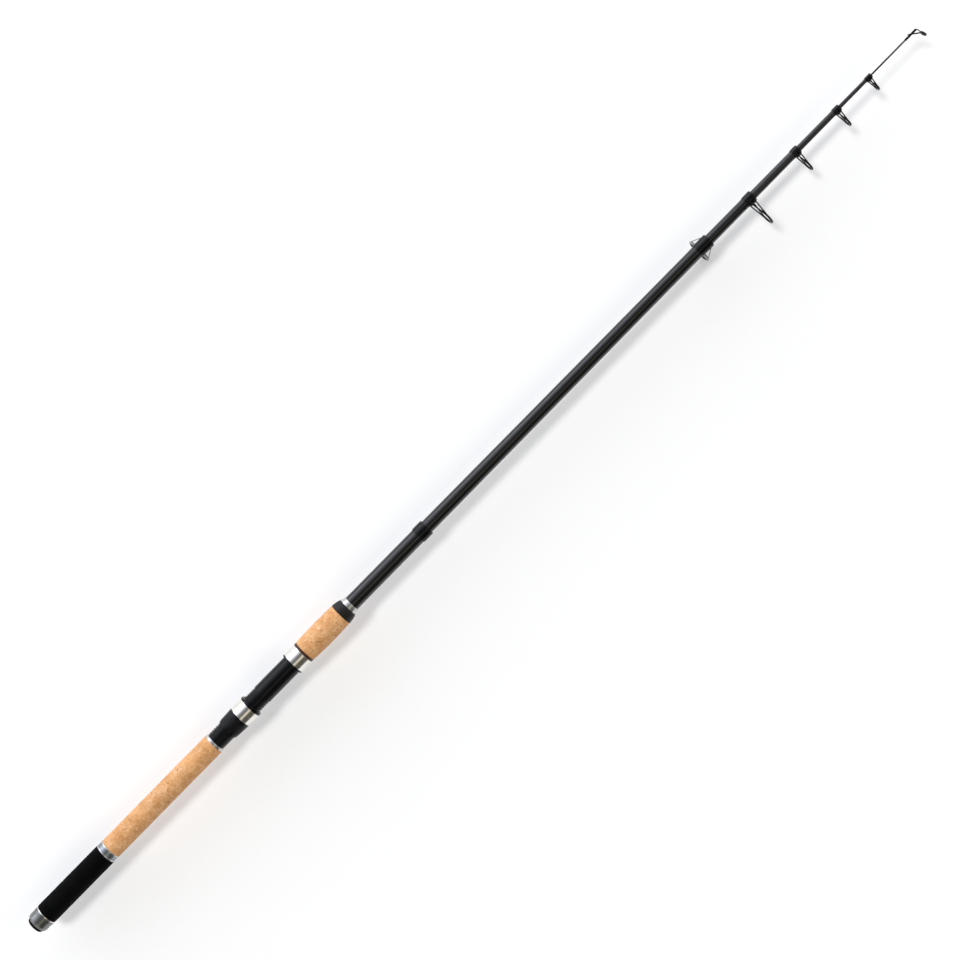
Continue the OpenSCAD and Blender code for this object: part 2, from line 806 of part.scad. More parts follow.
module tip_guide_frame() {
    r = band_r(tip_bore) - tip_wire_d / 2;
    side_y = tip_tube_r + seat_clear + tip_wire_d / 2;
    neck_x = tip_tube_end + tip_tube_wall + tip_wire_d / 2;
    crown = [tip_ring_x - r * sin(tip_lean), 0, -tip_height + r * cos(tip_lean)];
    brace_z = r * cos(tip_brace_angle);
    end_y = r * sin(tip_brace_angle);
    end_z = -tip_height + brace_z * cos(tip_lean);
    foot_y = side_y + (end_y - side_y) * tip_brace_rise / end_z;
    color(guide_black) rotate([-tip_swing, 0, 0]) union() {
        at_tip_ring() ring_band(tip_bore);
        rod([neck_x, 0, 0], crown, tip_wire_d);
        translate([neck_x, 0, 0]) sphere(d = tip_wire_d);
        for (side = [-1, 1]) rod(
            [tip_x(last_section) - tip_brace_back, side * foot_y, tip_brace_rise],
            [tip_ring_x - brace_z * sin(tip_lean), side * end_y, end_z],
            tip_wire_d
        );
    }
}

module tip_guide_ring() {
    rotate([-tip_swing, 0, 0]) at_tip_ring() line_ring(tip_bore);
}

butt_cap();
butt_bumper();
cap_cushion();
butt_insert();
foam_grip();
grip_trim_ring();
rear_cork_grip();
rear_winding_check();
reel_seat_body();
seat_bushes();
lock_nut();
sliding_hood_steel();
sliding_hood_liner();
fixed_hood_steel();
fixed_hood_liner();
fore_trim_ring();
fore_cork_grip();
fore_end_collar();
front_winding_check();
handle_tube();
handle_end_collar();
for (k = [2 : last_section - 1])
    section_tube(k);
section_tube(last_section);  // section_7_tip
for (g = [1 : len(bores)]) {
    guide_collar(g);
    guide_frame(g);
    guide_ring(g);
}
tip_guide_tube();
tip_guide_frame();
tip_guide_ring();
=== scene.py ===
import functools
import json
import math

import bpy
import numpy as np
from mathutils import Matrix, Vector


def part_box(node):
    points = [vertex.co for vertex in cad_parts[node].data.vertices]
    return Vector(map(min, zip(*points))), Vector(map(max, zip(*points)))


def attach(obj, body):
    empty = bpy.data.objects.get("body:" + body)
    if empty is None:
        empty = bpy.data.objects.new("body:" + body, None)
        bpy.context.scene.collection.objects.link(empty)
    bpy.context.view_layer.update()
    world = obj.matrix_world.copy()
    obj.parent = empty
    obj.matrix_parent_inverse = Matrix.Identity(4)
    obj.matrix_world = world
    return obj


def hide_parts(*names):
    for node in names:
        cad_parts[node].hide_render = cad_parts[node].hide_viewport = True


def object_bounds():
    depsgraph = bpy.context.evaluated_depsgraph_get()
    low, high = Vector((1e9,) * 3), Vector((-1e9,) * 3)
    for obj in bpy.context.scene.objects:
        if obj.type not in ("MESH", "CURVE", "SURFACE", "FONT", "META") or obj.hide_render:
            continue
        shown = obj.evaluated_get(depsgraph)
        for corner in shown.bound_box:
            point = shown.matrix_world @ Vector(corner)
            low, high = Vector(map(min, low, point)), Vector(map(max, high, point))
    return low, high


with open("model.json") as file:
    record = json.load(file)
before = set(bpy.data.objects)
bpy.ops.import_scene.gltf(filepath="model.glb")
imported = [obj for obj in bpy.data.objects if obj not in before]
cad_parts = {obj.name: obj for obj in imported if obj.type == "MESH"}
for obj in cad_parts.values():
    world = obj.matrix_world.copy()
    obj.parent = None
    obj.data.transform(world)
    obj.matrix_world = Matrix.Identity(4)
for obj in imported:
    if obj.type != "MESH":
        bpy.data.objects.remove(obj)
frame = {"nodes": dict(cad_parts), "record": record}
cad_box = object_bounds()

# Lengths are written in millimetres in the part's own frame and turned into metres when a mesh is made.
# The rod lies along X, the camera looks down from +Z, and the guides' rings are towards -Y.
# A turned piece has an outline of (x, radius) points, made from (x, radius, fillet) corners.
# A value that ends in SKIN tells the points of a piece's outside from those of its bore.
MM = 0.001
TURN = 2 * math.pi
RECORD = frame["record"]
BODY = {n: b for b, nodes in RECORD["behaviour"]["bodies"].items() for n in nodes}


@functools.cache
def span(node):
    """First and last x of a node, in mm."""
    low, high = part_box(node)
    return low.x / MM, high.x / MM


# Sections: all share one taper, and each fits in the mouth of the one before
SLOPE, REACH = 0.0015, 366.0
WALL, HANDLE_WALL, SLIDE_CLEAR = 0.47, 0.7, 0.04
TIP_END_R = 0.75
GLUE = 0.03
LAST = 7
TUBE = {1: "handle_tube", LAST: "section_7_tip"}
TUBE.update({k: "section_%d_tube" % k for k in range(2, LAST)})


def tip_radius(k):
    if k == LAST:
        return TIP_END_R
    return tip_radius(k + 1) + SLOPE * REACH + SLIDE_CLEAR + (HANDLE_WALL if k == 1 else WALL)


def tube_radius(k, x):
    return tip_radius(k) + SLOPE * (span(TUBE[k])[1] - x)


def handle_radius(x):
    return tube_radius(1, x)


# Small helpers

def clamp(t):
    return min(1.0, max(0.0, t))


def smooth(t):
    """A share from 0 to 1, eased at both ends."""
    return t * t * (3 - 2 * t)


# Mesh making

# A corner with a half angle over this stays sharp, and a fillet takes at most this share of each side
FLAT_CORNER, MOST_CUT = math.radians(89), 0.49
# Rings of a wire's rounded end, as shares of its radius, and a direction that no wire runs in
WIRE_END_SIZES, WIRE_LEAST_SIZE = (0.0, 0.5, 0.87), 0.04
ASKEW = (0.31, 0.42, 0.85)


def outward(verts, faces):
    """Faces turned so that a closed mesh has its normals outside."""
    tris = np.array([(f[0], f[i], f[i + 1]) for f in faces for i in range(1, len(f) - 1)])
    a, b, c = verts[tris[:, 0]], verts[tris[:, 1]], verts[tris[:, 2]]
    return faces if np.sum(a * np.cross(b, c)) > 0 else [f[::-1] for f in faces]


def join(*parts):
    """Several closed shells as one mesh."""
    verts, faces, start = [], [], 0
    for v, f in parts:
        verts.append(v)
        faces += [tuple(i + start for i in face) for face in f]
        start += len(v)
    return np.concatenate(verts), faces


def turned(outline, segments=96, shape=None):
    """A closed mesh turned about X from a closed outline of (x, r) points.
    shape(x, angles, r) may give each ring its own radii."""
    angles = np.linspace(0, TURN, segments, endpoint=False)
    cos, sin = np.cos(angles), np.sin(angles)
    verts, rings, start = [], [], 0
    for x, r in outline:
        if r <= 0:
            verts.append(np.array([[x, 0.0, 0.0]]))
            rings.append((start, 1))
            start += 1
            continue
        radii = np.full(segments, r) if shape is None else shape(x, angles, r)
        verts.append(np.stack([np.full(segments, x), radii * cos, radii * sin], 1))
        rings.append((start, segments))
        start += segments
    faces = []
    for i, (a, na) in enumerate(rings):
        b, nb = rings[(i + 1) % len(rings)]
        if na == 1 and nb == 1:
            continue
        for k in range(segments):
            m = (k + 1) % segments
            if na == 1:
                faces.append((a, b + m, b + k))
            elif nb == 1:
                faces.append((a + k, a + m, b))
            else:
                faces.append((a + k, a + m, b + m, b + k))
    verts = np.concatenate(verts)
    return verts, outward(verts, faces)


def loft(rings, closed=True):
    """A skin over rings of equally many points: closed on itself, or with flat ends."""
    n = len(rings[0])
    faces = []
    for i in range(len(rings) if closed else len(rings) - 1):
        a, b = i * n, (i + 1) % len(rings) * n
        for k in range(n):
            m = (k + 1) % n
            faces.append((a + k, a + m, b + m, b + k))
    if not closed:
        faces.append(tuple(range(n))[::-1])
        faces.append(tuple(range((len(rings) - 1) * n, len(rings) * n)))
    verts = np.concatenate(rings)
    return verts, outward(verts, faces)


def soften(points, steps=4):
    """A closed outline of (x, r, fillet) corners with its corners rounded."""
    out = []
    n = len(points)
    for i, (x, r, fillet) in enumerate(points):
        p = np.array([x, r])
        a = np.array(points[i - 1][:2]) - p
        b = np.array(points[(i + 1) % n][:2]) - p
        la, lb = np.linalg.norm(a), np.linalg.norm(b)
        if fillet <= 0 or la == 0 or lb == 0:
            out.append((x, r))
            continue
        a, b = a / la, b / lb
        half = math.acos(max(-1.0, min(1.0, float(a @ b)))) / 2
        if half > FLAT_CORNER:
            out.append((x, r))
            continue
        cut = min(fillet / math.tan(half), MOST_CUT * la, MOST_CUT * lb)
        radius = cut * math.tan(half)
        centre = p + (a + b) / np.linalg.norm(a + b) * (radius / math.sin(half))
        start, end = p + a * cut - centre, p + b * cut - centre
        a0 = math.atan2(start[1], start[0])
        sweep = (math.atan2(end[1], end[0]) - a0 + math.pi) % TURN - math.pi
        for s in range(steps + 1):
            t = a0 + sweep * s / steps
            out.append((centre[0] + radius * math.cos(t), centre[1] + radius * math.sin(t)))
    return out


def dense(outline, step):
    """An outline with points added so that no stretch along X is longer than step."""
    out = []
    for i, (x, r) in enumerate(outline):
        x2, r2 = outline[(i + 1) % len(outline)]
        n = max(1, math.ceil(abs(x2 - x) / step))
        out += [(x + (x2 - x) * k / n, r + (r2 - r) * k / n) for k in range(n)]
    return out


def wire(path, radius, sides=14):
    """A round wire along a path, with rounded ends."""
    path = np.array(path, float)
    tangents = np.gradient(path, axis=0)
    tangents /= np.linalg.norm(tangents, axis=1)[:, None]
    first, last = tangents[0], tangents[-1]
    head = [(path[0] - first * radius * math.sqrt(1 - e * e), e, first) for e in WIRE_END_SIZES]
    tail = [(path[-1] + last * radius * math.sqrt(1 - e * e), e, last) for e in reversed(WIRE_END_SIZES)]
    middle = [(p, 1.0, d) for p, d in zip(path, tangents)]
    normal = np.cross(first, ASKEW)
    angles = np.linspace(0, TURN, sides, endpoint=False)
    rings = []
    for p, size, d in head + middle + tail:
        normal = normal - d * (normal @ d)
        normal /= np.linalg.norm(normal)
        round_d = np.cos(angles)[:, None] * normal + np.sin(angles)[:, None] * np.cross(d, normal)
        rings.append(p + radius * max(size, WIRE_LEAST_SIZE) * round_d)
    return loft(rings, closed=False)


def strip(path, side, normal, width, thick):
    """A flat strip with rounded edges along a path. side and normal are its two cross directions."""
    steps = 5
    edge = thick / 2
    section = []
    for sign in (1, -1):
        for k in range(steps + 1):
            a = -math.pi / 2 + math.pi * k / steps
            section.append((sign * (width / 2 - edge + edge * math.cos(a)), sign * edge * math.sin(a)))
    return loft([np.array([p + side * u + normal * v for u, v in section]) for p in path], closed=False)


def piece(name, node, mesh, *materials, face_material=None, angle=38, attribute=None):
    """Makes the object that stands for a CAD node, riding on the node's body."""
    verts, faces = mesh
    data = bpy.data.meshes.new(name)
    data.from_pydata((np.asarray(verts) * MM).tolist(), [], faces)
    for m in materials:
        data.materials.append(m)
    if face_material is not None:
        data.polygons.foreach_set("material_index", face_material)
    data.polygons.foreach_set("use_smooth", [True] * len(data.polygons))
    data.set_sharp_from_angle(angle=math.radians(angle))
    if attribute is not None:
        layer = data.attributes.new(attribute[0], "FLOAT", "POINT")
        layer.data.foreach_set("value", np.asarray(attribute[1], np.float32))
    data.update()
    obj = bpy.data.objects.new(name, data)
    bpy.context.scene.collection.objects.link(obj)
    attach(obj, BODY[node])
    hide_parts(node)
    return obj


# Materials: texture places are in metres

# Most values of a noise lie between these two
NOISE_LOW, NOISE_HIGH = 0.3, 0.7
# Places of the two colours and of the result among the sockets of a Mix node
MIX_A, MIX_B, MIX_OUT = 6, 7, 2
CORK_RING_LONG = 0.0132
# The fore cork is this much paler than the rear one, past these two x
FORE_PALER, FORE_PALER_X, FORE_PALER_FULL_X = 1.07, 0.3, 0.33


class Nodes:
    """Makes and links the nodes of one tree."""

    def __init__(self, tree):
        self.tree = tree

    def put(self, value, socket):
        if isinstance(value, bpy.types.NodeSocket):
            self.tree.links.new(value, socket)
        else:
            socket.default_value = value

    def node(self, kind, settings=None, **inputs):
        """A new node. An input goes by its name, or by i and its place."""
        made = self.tree.nodes.new("ShaderNode" + kind)
        for key, value in (settings or {}).items():
            setattr(made, key, value)
        for key, value in inputs.items():
            by_place = key[0] == "i" and key[1:].isdigit()
            self.put(value, made.inputs[int(key[1:]) if by_place else key])
        return made

    def ramp(self, value, *stops):
        made = self.node("ValToRGB", Fac=value)
        elements = made.color_ramp.elements
        for i, (at, colour) in enumerate(stops):
            stop = elements[i] if i < 2 else elements.new(at)
            stop.position = at
            stop.color = (*colour, 1)
        return made.outputs["Color"]

    def span(self, value, low, high, start=0.0, end=1.0):
        return self.node("MapRange", Value=value, i1=low, i2=high, i3=start, i4=end).outputs[0]

    def mix(self, share, a, b, blend="MIX"):
        made = self.node("Mix", {"data_type": "RGBA", "blend_type": blend}, i0=share)
        for place, value in ((MIX_A, a), (MIX_B, b)):
            is_socket = isinstance(value, bpy.types.NodeSocket)
            self.put(value if is_socket else (*value, 1), made.inputs[place])
        return made.outputs[MIX_OUT]

    def math(self, operation, a, b=0.0):
        return self.node("Math", {"operation": operation}, i0=a, i1=b).outputs[0]

    def vector_math(self, operation, a, **inputs):
        return self.node("VectorMath", {"operation": operation}, i0=a, **inputs).outputs[0]


class Look(Nodes):
    """A node material around one Principled shader."""

    def __init__(self, name, **sockets):
        self.material = bpy.data.materials.new(name)
        self.material.use_nodes = True
        super().__init__(self.material.node_tree)
        self.shader = self.tree.nodes["Principled BSDF"]
        for key, value in sockets.items():
            self.shader.inputs[key.replace("_", " ")].default_value = value
        self.place = self.node("TexCoord").outputs["Object"]

    def link(self, out, socket):
        self.tree.links.new(out, self.shader.inputs[socket])

    def stretch(self, x, y, z):
        return self.node("Mapping", Vector=self.place, Scale=(x, y, z)).outputs[0]

    def noise(self, scale, detail=3.0, rough=0.55, where=None):
        return self.node("TexNoise", Vector=where or self.place, Scale=scale, Detail=detail,
                         Roughness=rough).outputs["Fac"]

    def cells(self, scale, where=None):
        return self.node("TexVoronoi", Vector=where or self.place, Scale=scale).outputs["Distance"]

    def blend(self, a, b, share):
        """Sum of two values, with this share of the second."""
        return self.math("ADD", self.math("MULTIPLY", a, 1 - share), self.math("MULTIPLY", b, share))

    def tones(self, value, *stops):
        self.link(self.ramp(value, *stops), "Base Color")

    def roughness(self, value, middle, spread):
        self.link(self.span(value, NOISE_LOW, NOISE_HIGH, middle - spread, middle + spread), "Roughness")

    def bump(self, height, strength, distance):
        made = self.node("Bump", Strength=strength, Distance=distance, Height=height)
        self.link(made.outputs[0], "Normal")


def cork_look():
    look = Look("cork", Roughness=0.62, Specular_IOR_Level=0.36)
    x = look.node("SeparateXYZ", Vector=look.place).outputs[0]
    grain = look.noise(620, 4, 0.65)
    tan = look.ramp(look.noise(110, 4), (0.3, (0.62, 0.306, 0.113)), (0.52, (0.74, 0.395, 0.17)),
                    (0.72, (0.84, 0.505, 0.265)))
    fine = look.ramp(grain, (0.35, (0.84, 0.8, 0.74)), (0.65, (1.0, 1.0, 1.0)))
    colour = look.mix(0.8, tan, fine, "MULTIPLY")
    # Each glued ring has a tone of its own
    ring = look.math("FLOOR", look.math("MULTIPLY", x, 1 / CORK_RING_LONG))
    tone = look.node("TexWhiteNoise", {"noise_dimensions": "1D"}, W=ring).outputs["Value"]
    paler = look.span(x, FORE_PALER_X, FORE_PALER_FULL_X, 1.0, FORE_PALER)
    shade = look.math("MULTIPLY", look.span(tone, 0, 1, 0.9, 1.04), paler)
    shade = look.node("CombineXYZ", X=shade, Y=shade, Z=shade).outputs[0]
    colour = look.mix(1.0, colour, shade, "MULTIPLY")
    # Dark specks in patches, dark streaks round the grip, pale clouds and the pits of the mesh
    wobble = look.node("TexNoise", Vector=look.place, Scale=700.0, Detail=2.0).outputs["Color"]
    warped = look.vector_math("ADD", look.place, i1=look.vector_math("SCALE", wobble, Scale=0.0016))
    speck = look.math("MULTIPLY", look.span(look.cells(430, warped), 0.1, 0.2, 1, 0),
                      look.span(look.noise(160, 2), 0.46, 0.58))
    colour = look.mix(speck, colour, (0.38, 0.165, 0.06))
    streak = look.span(look.noise(1.0, 3, 0.6, look.stretch(900, 330, 330)), 0.57, 0.68)
    colour = look.mix(look.math("MULTIPLY", streak, 0.75), colour, (0.46, 0.185, 0.06))
    pale = look.span(look.noise(1.0, 3, 0.6, look.stretch(420, 260, 260)), 0.55, 0.72)
    colour = look.mix(look.math("MULTIPLY", pale, 0.6), colour, (0.88, 0.58, 0.36))
    pit = look.node("Attribute", {"attribute_name": "pit"}).outputs["Fac"]
    colour = look.mix(look.span(pit, 0.05, 0.85), colour, (0.3, 0.13, 0.05))
    look.link(colour, "Base Color")
    look.bump(look.math("SUBTRACT", grain, speck), 0.35, 0.0004)
    return look.material


def foam_look():
    look = Look("black_foam", Roughness=0.75, Specular_IOR_Level=0.06)
    look.tones(look.noise(60, 3), (0.3, (0.0006, 0.0007, 0.0008)), (0.7, (0.002, 0.0021, 0.0023)))
    look.bump(look.math("ADD", look.cells(1900), look.noise(900, 3)), 0.5, 0.0003)
    return look.material


def rubber_look():
    look = Look("black_rubber", Specular_IOR_Level=0.03)
    look.tones(look.noise(420, 3), (0.3, (0.002, 0.002, 0.002)), (0.7, (0.006, 0.006, 0.006)))
    look.roughness(look.noise(1300, 2), 0.7, 0.08)
    look.bump(look.noise(2600, 2), 0.12, 0.0002)
    return look.material


def metal_look(name, dark, light, rough, lines, metallic=1.0, gloss=0.5):
    """Turned metal: fine lines round the axis vary its tone and its gloss."""
    look = Look(name, Metallic=metallic, Specular_IOR_Level=gloss)
    fine = look.noise(1.0, 3, 0.6, look.stretch(9000, 260, 260))
    look.tones(look.blend(fine, look.noise(90, 3), 0.4), (0.35, dark), (0.65, light))
    look.roughness(fine, rough, lines)
    look.bump(fine, 0.08, 0.00006)
    return look.material


def wood_look():
    look = Look("dark_wood", Specular_IOR_Level=0.4)
    figure = look.noise(240, 5, 0.65)
    look.tones(figure, (0.3, (0.018, 0.006, 0.004)), (0.5, (0.045, 0.014, 0.008)),
               (0.72, (0.085, 0.03, 0.017)))
    look.roughness(figure, 0.42, 0.08)
    look.bump(look.noise(1500, 3), 0.15, 0.0002)
    return look.material


def plastic_look(name, dark, light, rough, gloss, axial=0.0):
    """Moulded plastic with a fine grain, and faint lines along X where axial is set."""
    look = Look(name, Specular_IOR_Level=gloss)
    grain = look.noise(1500, 3, 0.6)
    tone = look.blend(grain, look.noise(45, 3), 0.6)
    if axial:
        tone = look.blend(tone, look.noise(1.0, 2, 0.5, look.stretch(12, 1700, 1700)), axial)
    look.tones(tone, (0.34, dark), (0.66, light))
    look.roughness(grain, rough, 0.06)
    look.bump(grain, 0.12, 0.00015)
    return look.material


def blank_look(name, dark, light, rough, coat):
    """Rolled carbon: fine lines along X under lacquer."""
    look = Look(name, Specular_IOR_Level=0.5, Coat_Weight=coat, Coat_Roughness=0.08)
    fibre = look.noise(1.0, 3, 0.6, look.stretch(14, 2600, 2600))
    look.tones(look.blend(fibre, look.noise(30, 3), 0.5), (0.34, dark), (0.66, light))
    look.roughness(fibre, rough, 0.05)
    look.bump(fibre, 0.05, 0.0001)
    return look.material


def ceramic_look():
    look = Look("ring_ceramic", Specular_IOR_Level=0.35)
    cloud = look.noise(500, 3)
    look.tones(cloud, (0.3, (0.008, 0.008, 0.009)), (0.7, (0.02, 0.02, 0.022)))
    look.roughness(cloud, 0.15, 0.05)
    return look.material


CORK = cork_look()
FOAM = foam_look()
RUBBER = rubber_look()
GUNMETAL = metal_look("gunmetal", (0.155, 0.16, 0.158), (0.245, 0.255, 0.253), 0.33, 0.08)
BRIGHT = metal_look("bright_metal", (0.8, 0.775, 0.72), (0.92, 0.9, 0.86), 0.2, 0.05)
BAND = metal_look("trim_band", (0.23, 0.244, 0.27), (0.33, 0.35, 0.385), 0.32, 0.06)
WOOD = wood_look()
SEAT = plastic_look("seat_plastic", (0.0006, 0.0008, 0.0012), (0.002, 0.0025, 0.0038), 0.25, 0.22, 0.5)
PLASTIC = plastic_look("black_plastic", (0.0005, 0.0006, 0.001), (0.0016, 0.002, 0.0032), 0.17, 0.26)
CHARCOAL = plastic_look("collar_charcoal", (0.004, 0.0036, 0.0036), (0.01, 0.009, 0.009), 0.52, 0.35)
GLOSS = blank_look("blank_gloss", (0.003, 0.003, 0.0028), (0.008, 0.008, 0.0078), 0.11, 0.05)
MATTE = blank_look("blank_matte", (0.011, 0.011, 0.0108), (0.023, 0.023, 0.0226), 0.26, 0.0)
FRAME_BLACK = metal_look("guide_black", (0.003, 0.003, 0.003), (0.008, 0.008, 0.008), 0.34, 0.06, 0.0, 0.14)
FRAME_GREY = metal_look("guide_grey", (0.2, 0.2, 0.195), (0.3, 0.3, 0.29), 0.36, 0.06, 0.9)
CERAMIC = ceramic_look()
SATIN = metal_look("satin_metal", (0.5, 0.5, 0.49), (0.66, 0.66, 0.65), 0.3, 0.06)


# Threads

def helix(x, angles, x0, pitch):
    """How far round the thread's lead each angle is at x, from 0 to 1."""
    return ((x - x0) / pitch - angles / TURN) % 1.0


def ridge(share, flank=0.3, crest=0.2):
    """Height of a thread's ridge, from 0 to 1, over its lead."""
    up = np.clip(share / flank, 0, 1)
    down = np.clip((2 * flank + crest - share) / flank, 0, 1)
    return smooth(np.minimum(up, down))


# Butt cap: a cup for the bumper, a chamfered body, a flange with a scored bright rim, and a threaded plug

CUP_X, CUP_R = 5.3, 8.36
LIP_X, LIP_R = 2.9, 8.6
CHAMFER_X, CHAMFER_R = 3.6, 9.5
CAP_X, CAP_R = 5.8, 10.2
NECK_X, NECK_HALF, NECK_DEEP = 11.6, 0.3, 0.18
FLANGE_R, FLANGE_END = 10.5, 15.7
SCORE_X, SCORE_HALF, SCORE_DEEP = 14.75, 0.15, 0.14
RIM_X, RIM_LEAST_R = 14.8, 10.3
PLUG_R, PLUG_X, PLUG_PLAIN_X, PLUG_END = 5.1, 16.0, 29.2, 30.0
PLUG_BORE_R, PLUG_BORE_X = 4.32, 23.0
PLUG_PITCH, PLUG_RIDGE, PLUG_THREAD_X, PLUG_THREAD_END = 2.0, 0.4, 16.2, 29.0
PLUG_STEP, PLUG_SKIN = 0.16, 0.01


def make_butt_cap():
    def shape(x, angles, r):
        if PLUG_THREAD_X < x < PLUG_THREAD_END and abs(r - PLUG_R) < PLUG_SKIN:
            return r + PLUG_RIDGE * ridge(helix(x, angles, PLUG_X, PLUG_PITCH))
        return np.full(len(angles), r)

    cap = soften([
        (CUP_X, 0, 0), (CUP_X, CUP_R, 0.1), (LIP_X, CUP_R, 0.1), (LIP_X, LIP_R, 0.1),
        (CHAMFER_X, CHAMFER_R, 0.9), (CAP_X, CAP_R, 1.2),
        (NECK_X - NECK_HALF, CAP_R, 0.15), (NECK_X, CAP_R - NECK_DEEP, 0.08),
        (NECK_X + NECK_HALF, FLANGE_R, 0.12), (SCORE_X - SCORE_HALF, FLANGE_R, 0.1),
        (SCORE_X, FLANGE_R - SCORE_DEEP, 0.05), (SCORE_X + SCORE_HALF, FLANGE_R, 0.1),
        (FLANGE_END, FLANGE_R, 0.25), (FLANGE_END, PLUG_R, 0.2)])
    plug = [(x, PLUG_R) for x in np.arange(PLUG_X, PLUG_THREAD_END, PLUG_STEP)]
    nose = soften([
        (PLUG_PLAIN_X, PLUG_R, 0), (PLUG_END, PLUG_R, 0.3), (PLUG_END, PLUG_BORE_R, 0.1),
        (PLUG_BORE_X, PLUG_BORE_R, 0.1), (PLUG_BORE_X, 0, 0)])
    verts, faces = turned(cap + plug + nose, 96, shape)
    rim = [int(min(verts[i][0] for i in f) > RIM_X and np.hypot(*verts[f[0]][1:]) > RIM_LEAST_R)
           for f in faces]
    piece("butt_cap_look", "butt_cap", (verts, faces), GUNMETAL, BRIGHT, face_material=rim)


# Bumper: a rounded disc with a raised ring in the middle of its face

BUMPER_BACK, BUMPER_FACE, BUMPER_R = 5.0, 0.5, 8.28
BUMPER_ARC_X, BUMPER_ARC_R, BUMPER_EDGE = 2.32, 5.98, 2.3
BUMPER_FLAT_R = 4.8
BUMP_R0, BUMP_R1, BUMP_SLANT = 2.5, 3.8, 0.2


def make_bumper():
    rounded = [(BUMPER_ARC_X - BUMPER_EDGE * math.cos(t), BUMPER_ARC_R + BUMPER_EDGE * math.sin(t), 0)
               for t in np.linspace(0, math.pi / 2, 13)]
    outline = soften([
        (BUMPER_BACK, 0, 0), (BUMPER_FACE, 0, 0), (BUMPER_FACE, BUMP_R0, 0.2),
        (0.0, BUMP_R0 + BUMP_SLANT, 0.2), (0.0, BUMP_R1 - BUMP_SLANT, 0.2), (BUMPER_FACE, BUMP_R1, 0.2),
        (BUMPER_FACE, BUMPER_FLAT_R, 0.3),
        *rounded, (BUMPER_BACK, BUMPER_R, 0.1)], 6)
    piece("butt_bumper_look", "butt_bumper", turned(outline, 96), RUBBER)


# Foam grip

FOAM_R, FOAM_STEP, FOAM_SINK = 10.65, 0.9, 0.05
FOAM_SEED, FOAM_WAVES, FOAM_WAVE, FOAM_WAVE_RATE = 11, 6, 0.008, 0.11


def bored(x0, x1, *outside):
    """A turned outline whose bore follows the blank. outside is (x, r, fillet) from x0 to x1."""
    return soften([(x0, handle_radius(x0) + GLUE, 0)] + list(outside) + [(x1, handle_radius(x1) + GLUE, 0)])


def make_foam():
    x0, x1 = span("foam_grip")
    outline = dense(bored(x0, x1, (x0, FOAM_R, 0.9), (x1, FOAM_R, 0.6)), FOAM_STEP)
    random = np.random.default_rng(FOAM_SEED)
    waves = random.uniform(0, TURN, (FOAM_WAVES, 2))

    def shape(x, angles, r):
        if r < FOAM_R - FOAM_SINK:
            return np.full(len(angles), r)
        swell = sum(np.sin(angles * (2 + i) + a + x * FOAM_WAVE_RATE * (i + 1) + b)
                    for i, (a, b) in enumerate(waves))
        return r - FOAM_SINK + FOAM_WAVE * swell

    foam = piece("foam_grip_look", "foam_grip", turned(outline, 144, shape), FOAM)


# Cork grips: pits are drawn with seeded sizes and places, and seams lie between the glued rings

CORK_R, FORE_CORK_R, FORE_SWELL = 10.35, 11.2, 0.6
CORK_RINGS, CORK_SEED = 10, 5
FORE_CORK_RINGS, FORE_CORK_SEED = 4, 9
CORK_STEP, CORK_SKIN, CORK_END_PLAIN, CORK_SINK = 0.32, 0.6, 0.3, 0.02
PITS_PER_CM2, MM2_IN_CM2, PIT_FROM_END = 9, 100, 0.6
# Middle and spread of a pit's size (of its logarithm) and turn, and the shares of its size that its sides are
PIT_SIZE, PIT_TURN = (-1.0, 0.5), (math.pi / 2, 0.75)
PIT_STRETCH, PIT_NARROW = (1.0, 2.8), 0.45
PIT_LONG, PIT_WIDE, PIT_DEEP = (0.32, 2.2), (0.2, 0.5), (0.1, 0.38)
SEAM_HALF, SEAM_DEEP, SEAM_MARK = 0.3, 0.03, 0.14


def cork_pits(seed, x0, x1, radius):
    """Seeded pits of a cork grip: place, turn, half sizes and depth of each."""
    random = np.random.default_rng(seed)
    n = int((x1 - x0) * TURN * radius / MM2_IN_CM2 * PITS_PER_CM2)
    size = random.lognormal(*PIT_SIZE, n)
    turn = random.normal(*PIT_TURN, n)
    return np.stack([
        random.uniform(x0 + PIT_FROM_END, x1 - PIT_FROM_END, n), random.uniform(0, TURN, n),
        np.cos(turn), np.sin(turn), np.clip(size * random.uniform(*PIT_STRETCH, n), *PIT_LONG),
        np.clip(size * PIT_NARROW, *PIT_WIDE), random.uniform(*PIT_DEEP, n)], 1)


def pit_depth(pits, x, angles, radius):
    depth = np.zeros(len(angles))
    for px, pa, c, s, long, wide, deep in pits[np.abs(pits[:, 0] - x) < pits[:, 4]]:
        u, w = x - px, ((angles - pa + math.pi) % TURN - math.pi) * radius
        inside = 1 - ((c * u + s * w) / long) ** 2 - ((c * w - s * u) / wide) ** 2
        depth = np.maximum(depth, deep * np.sqrt(np.clip(inside, 0, 1)))
    return depth


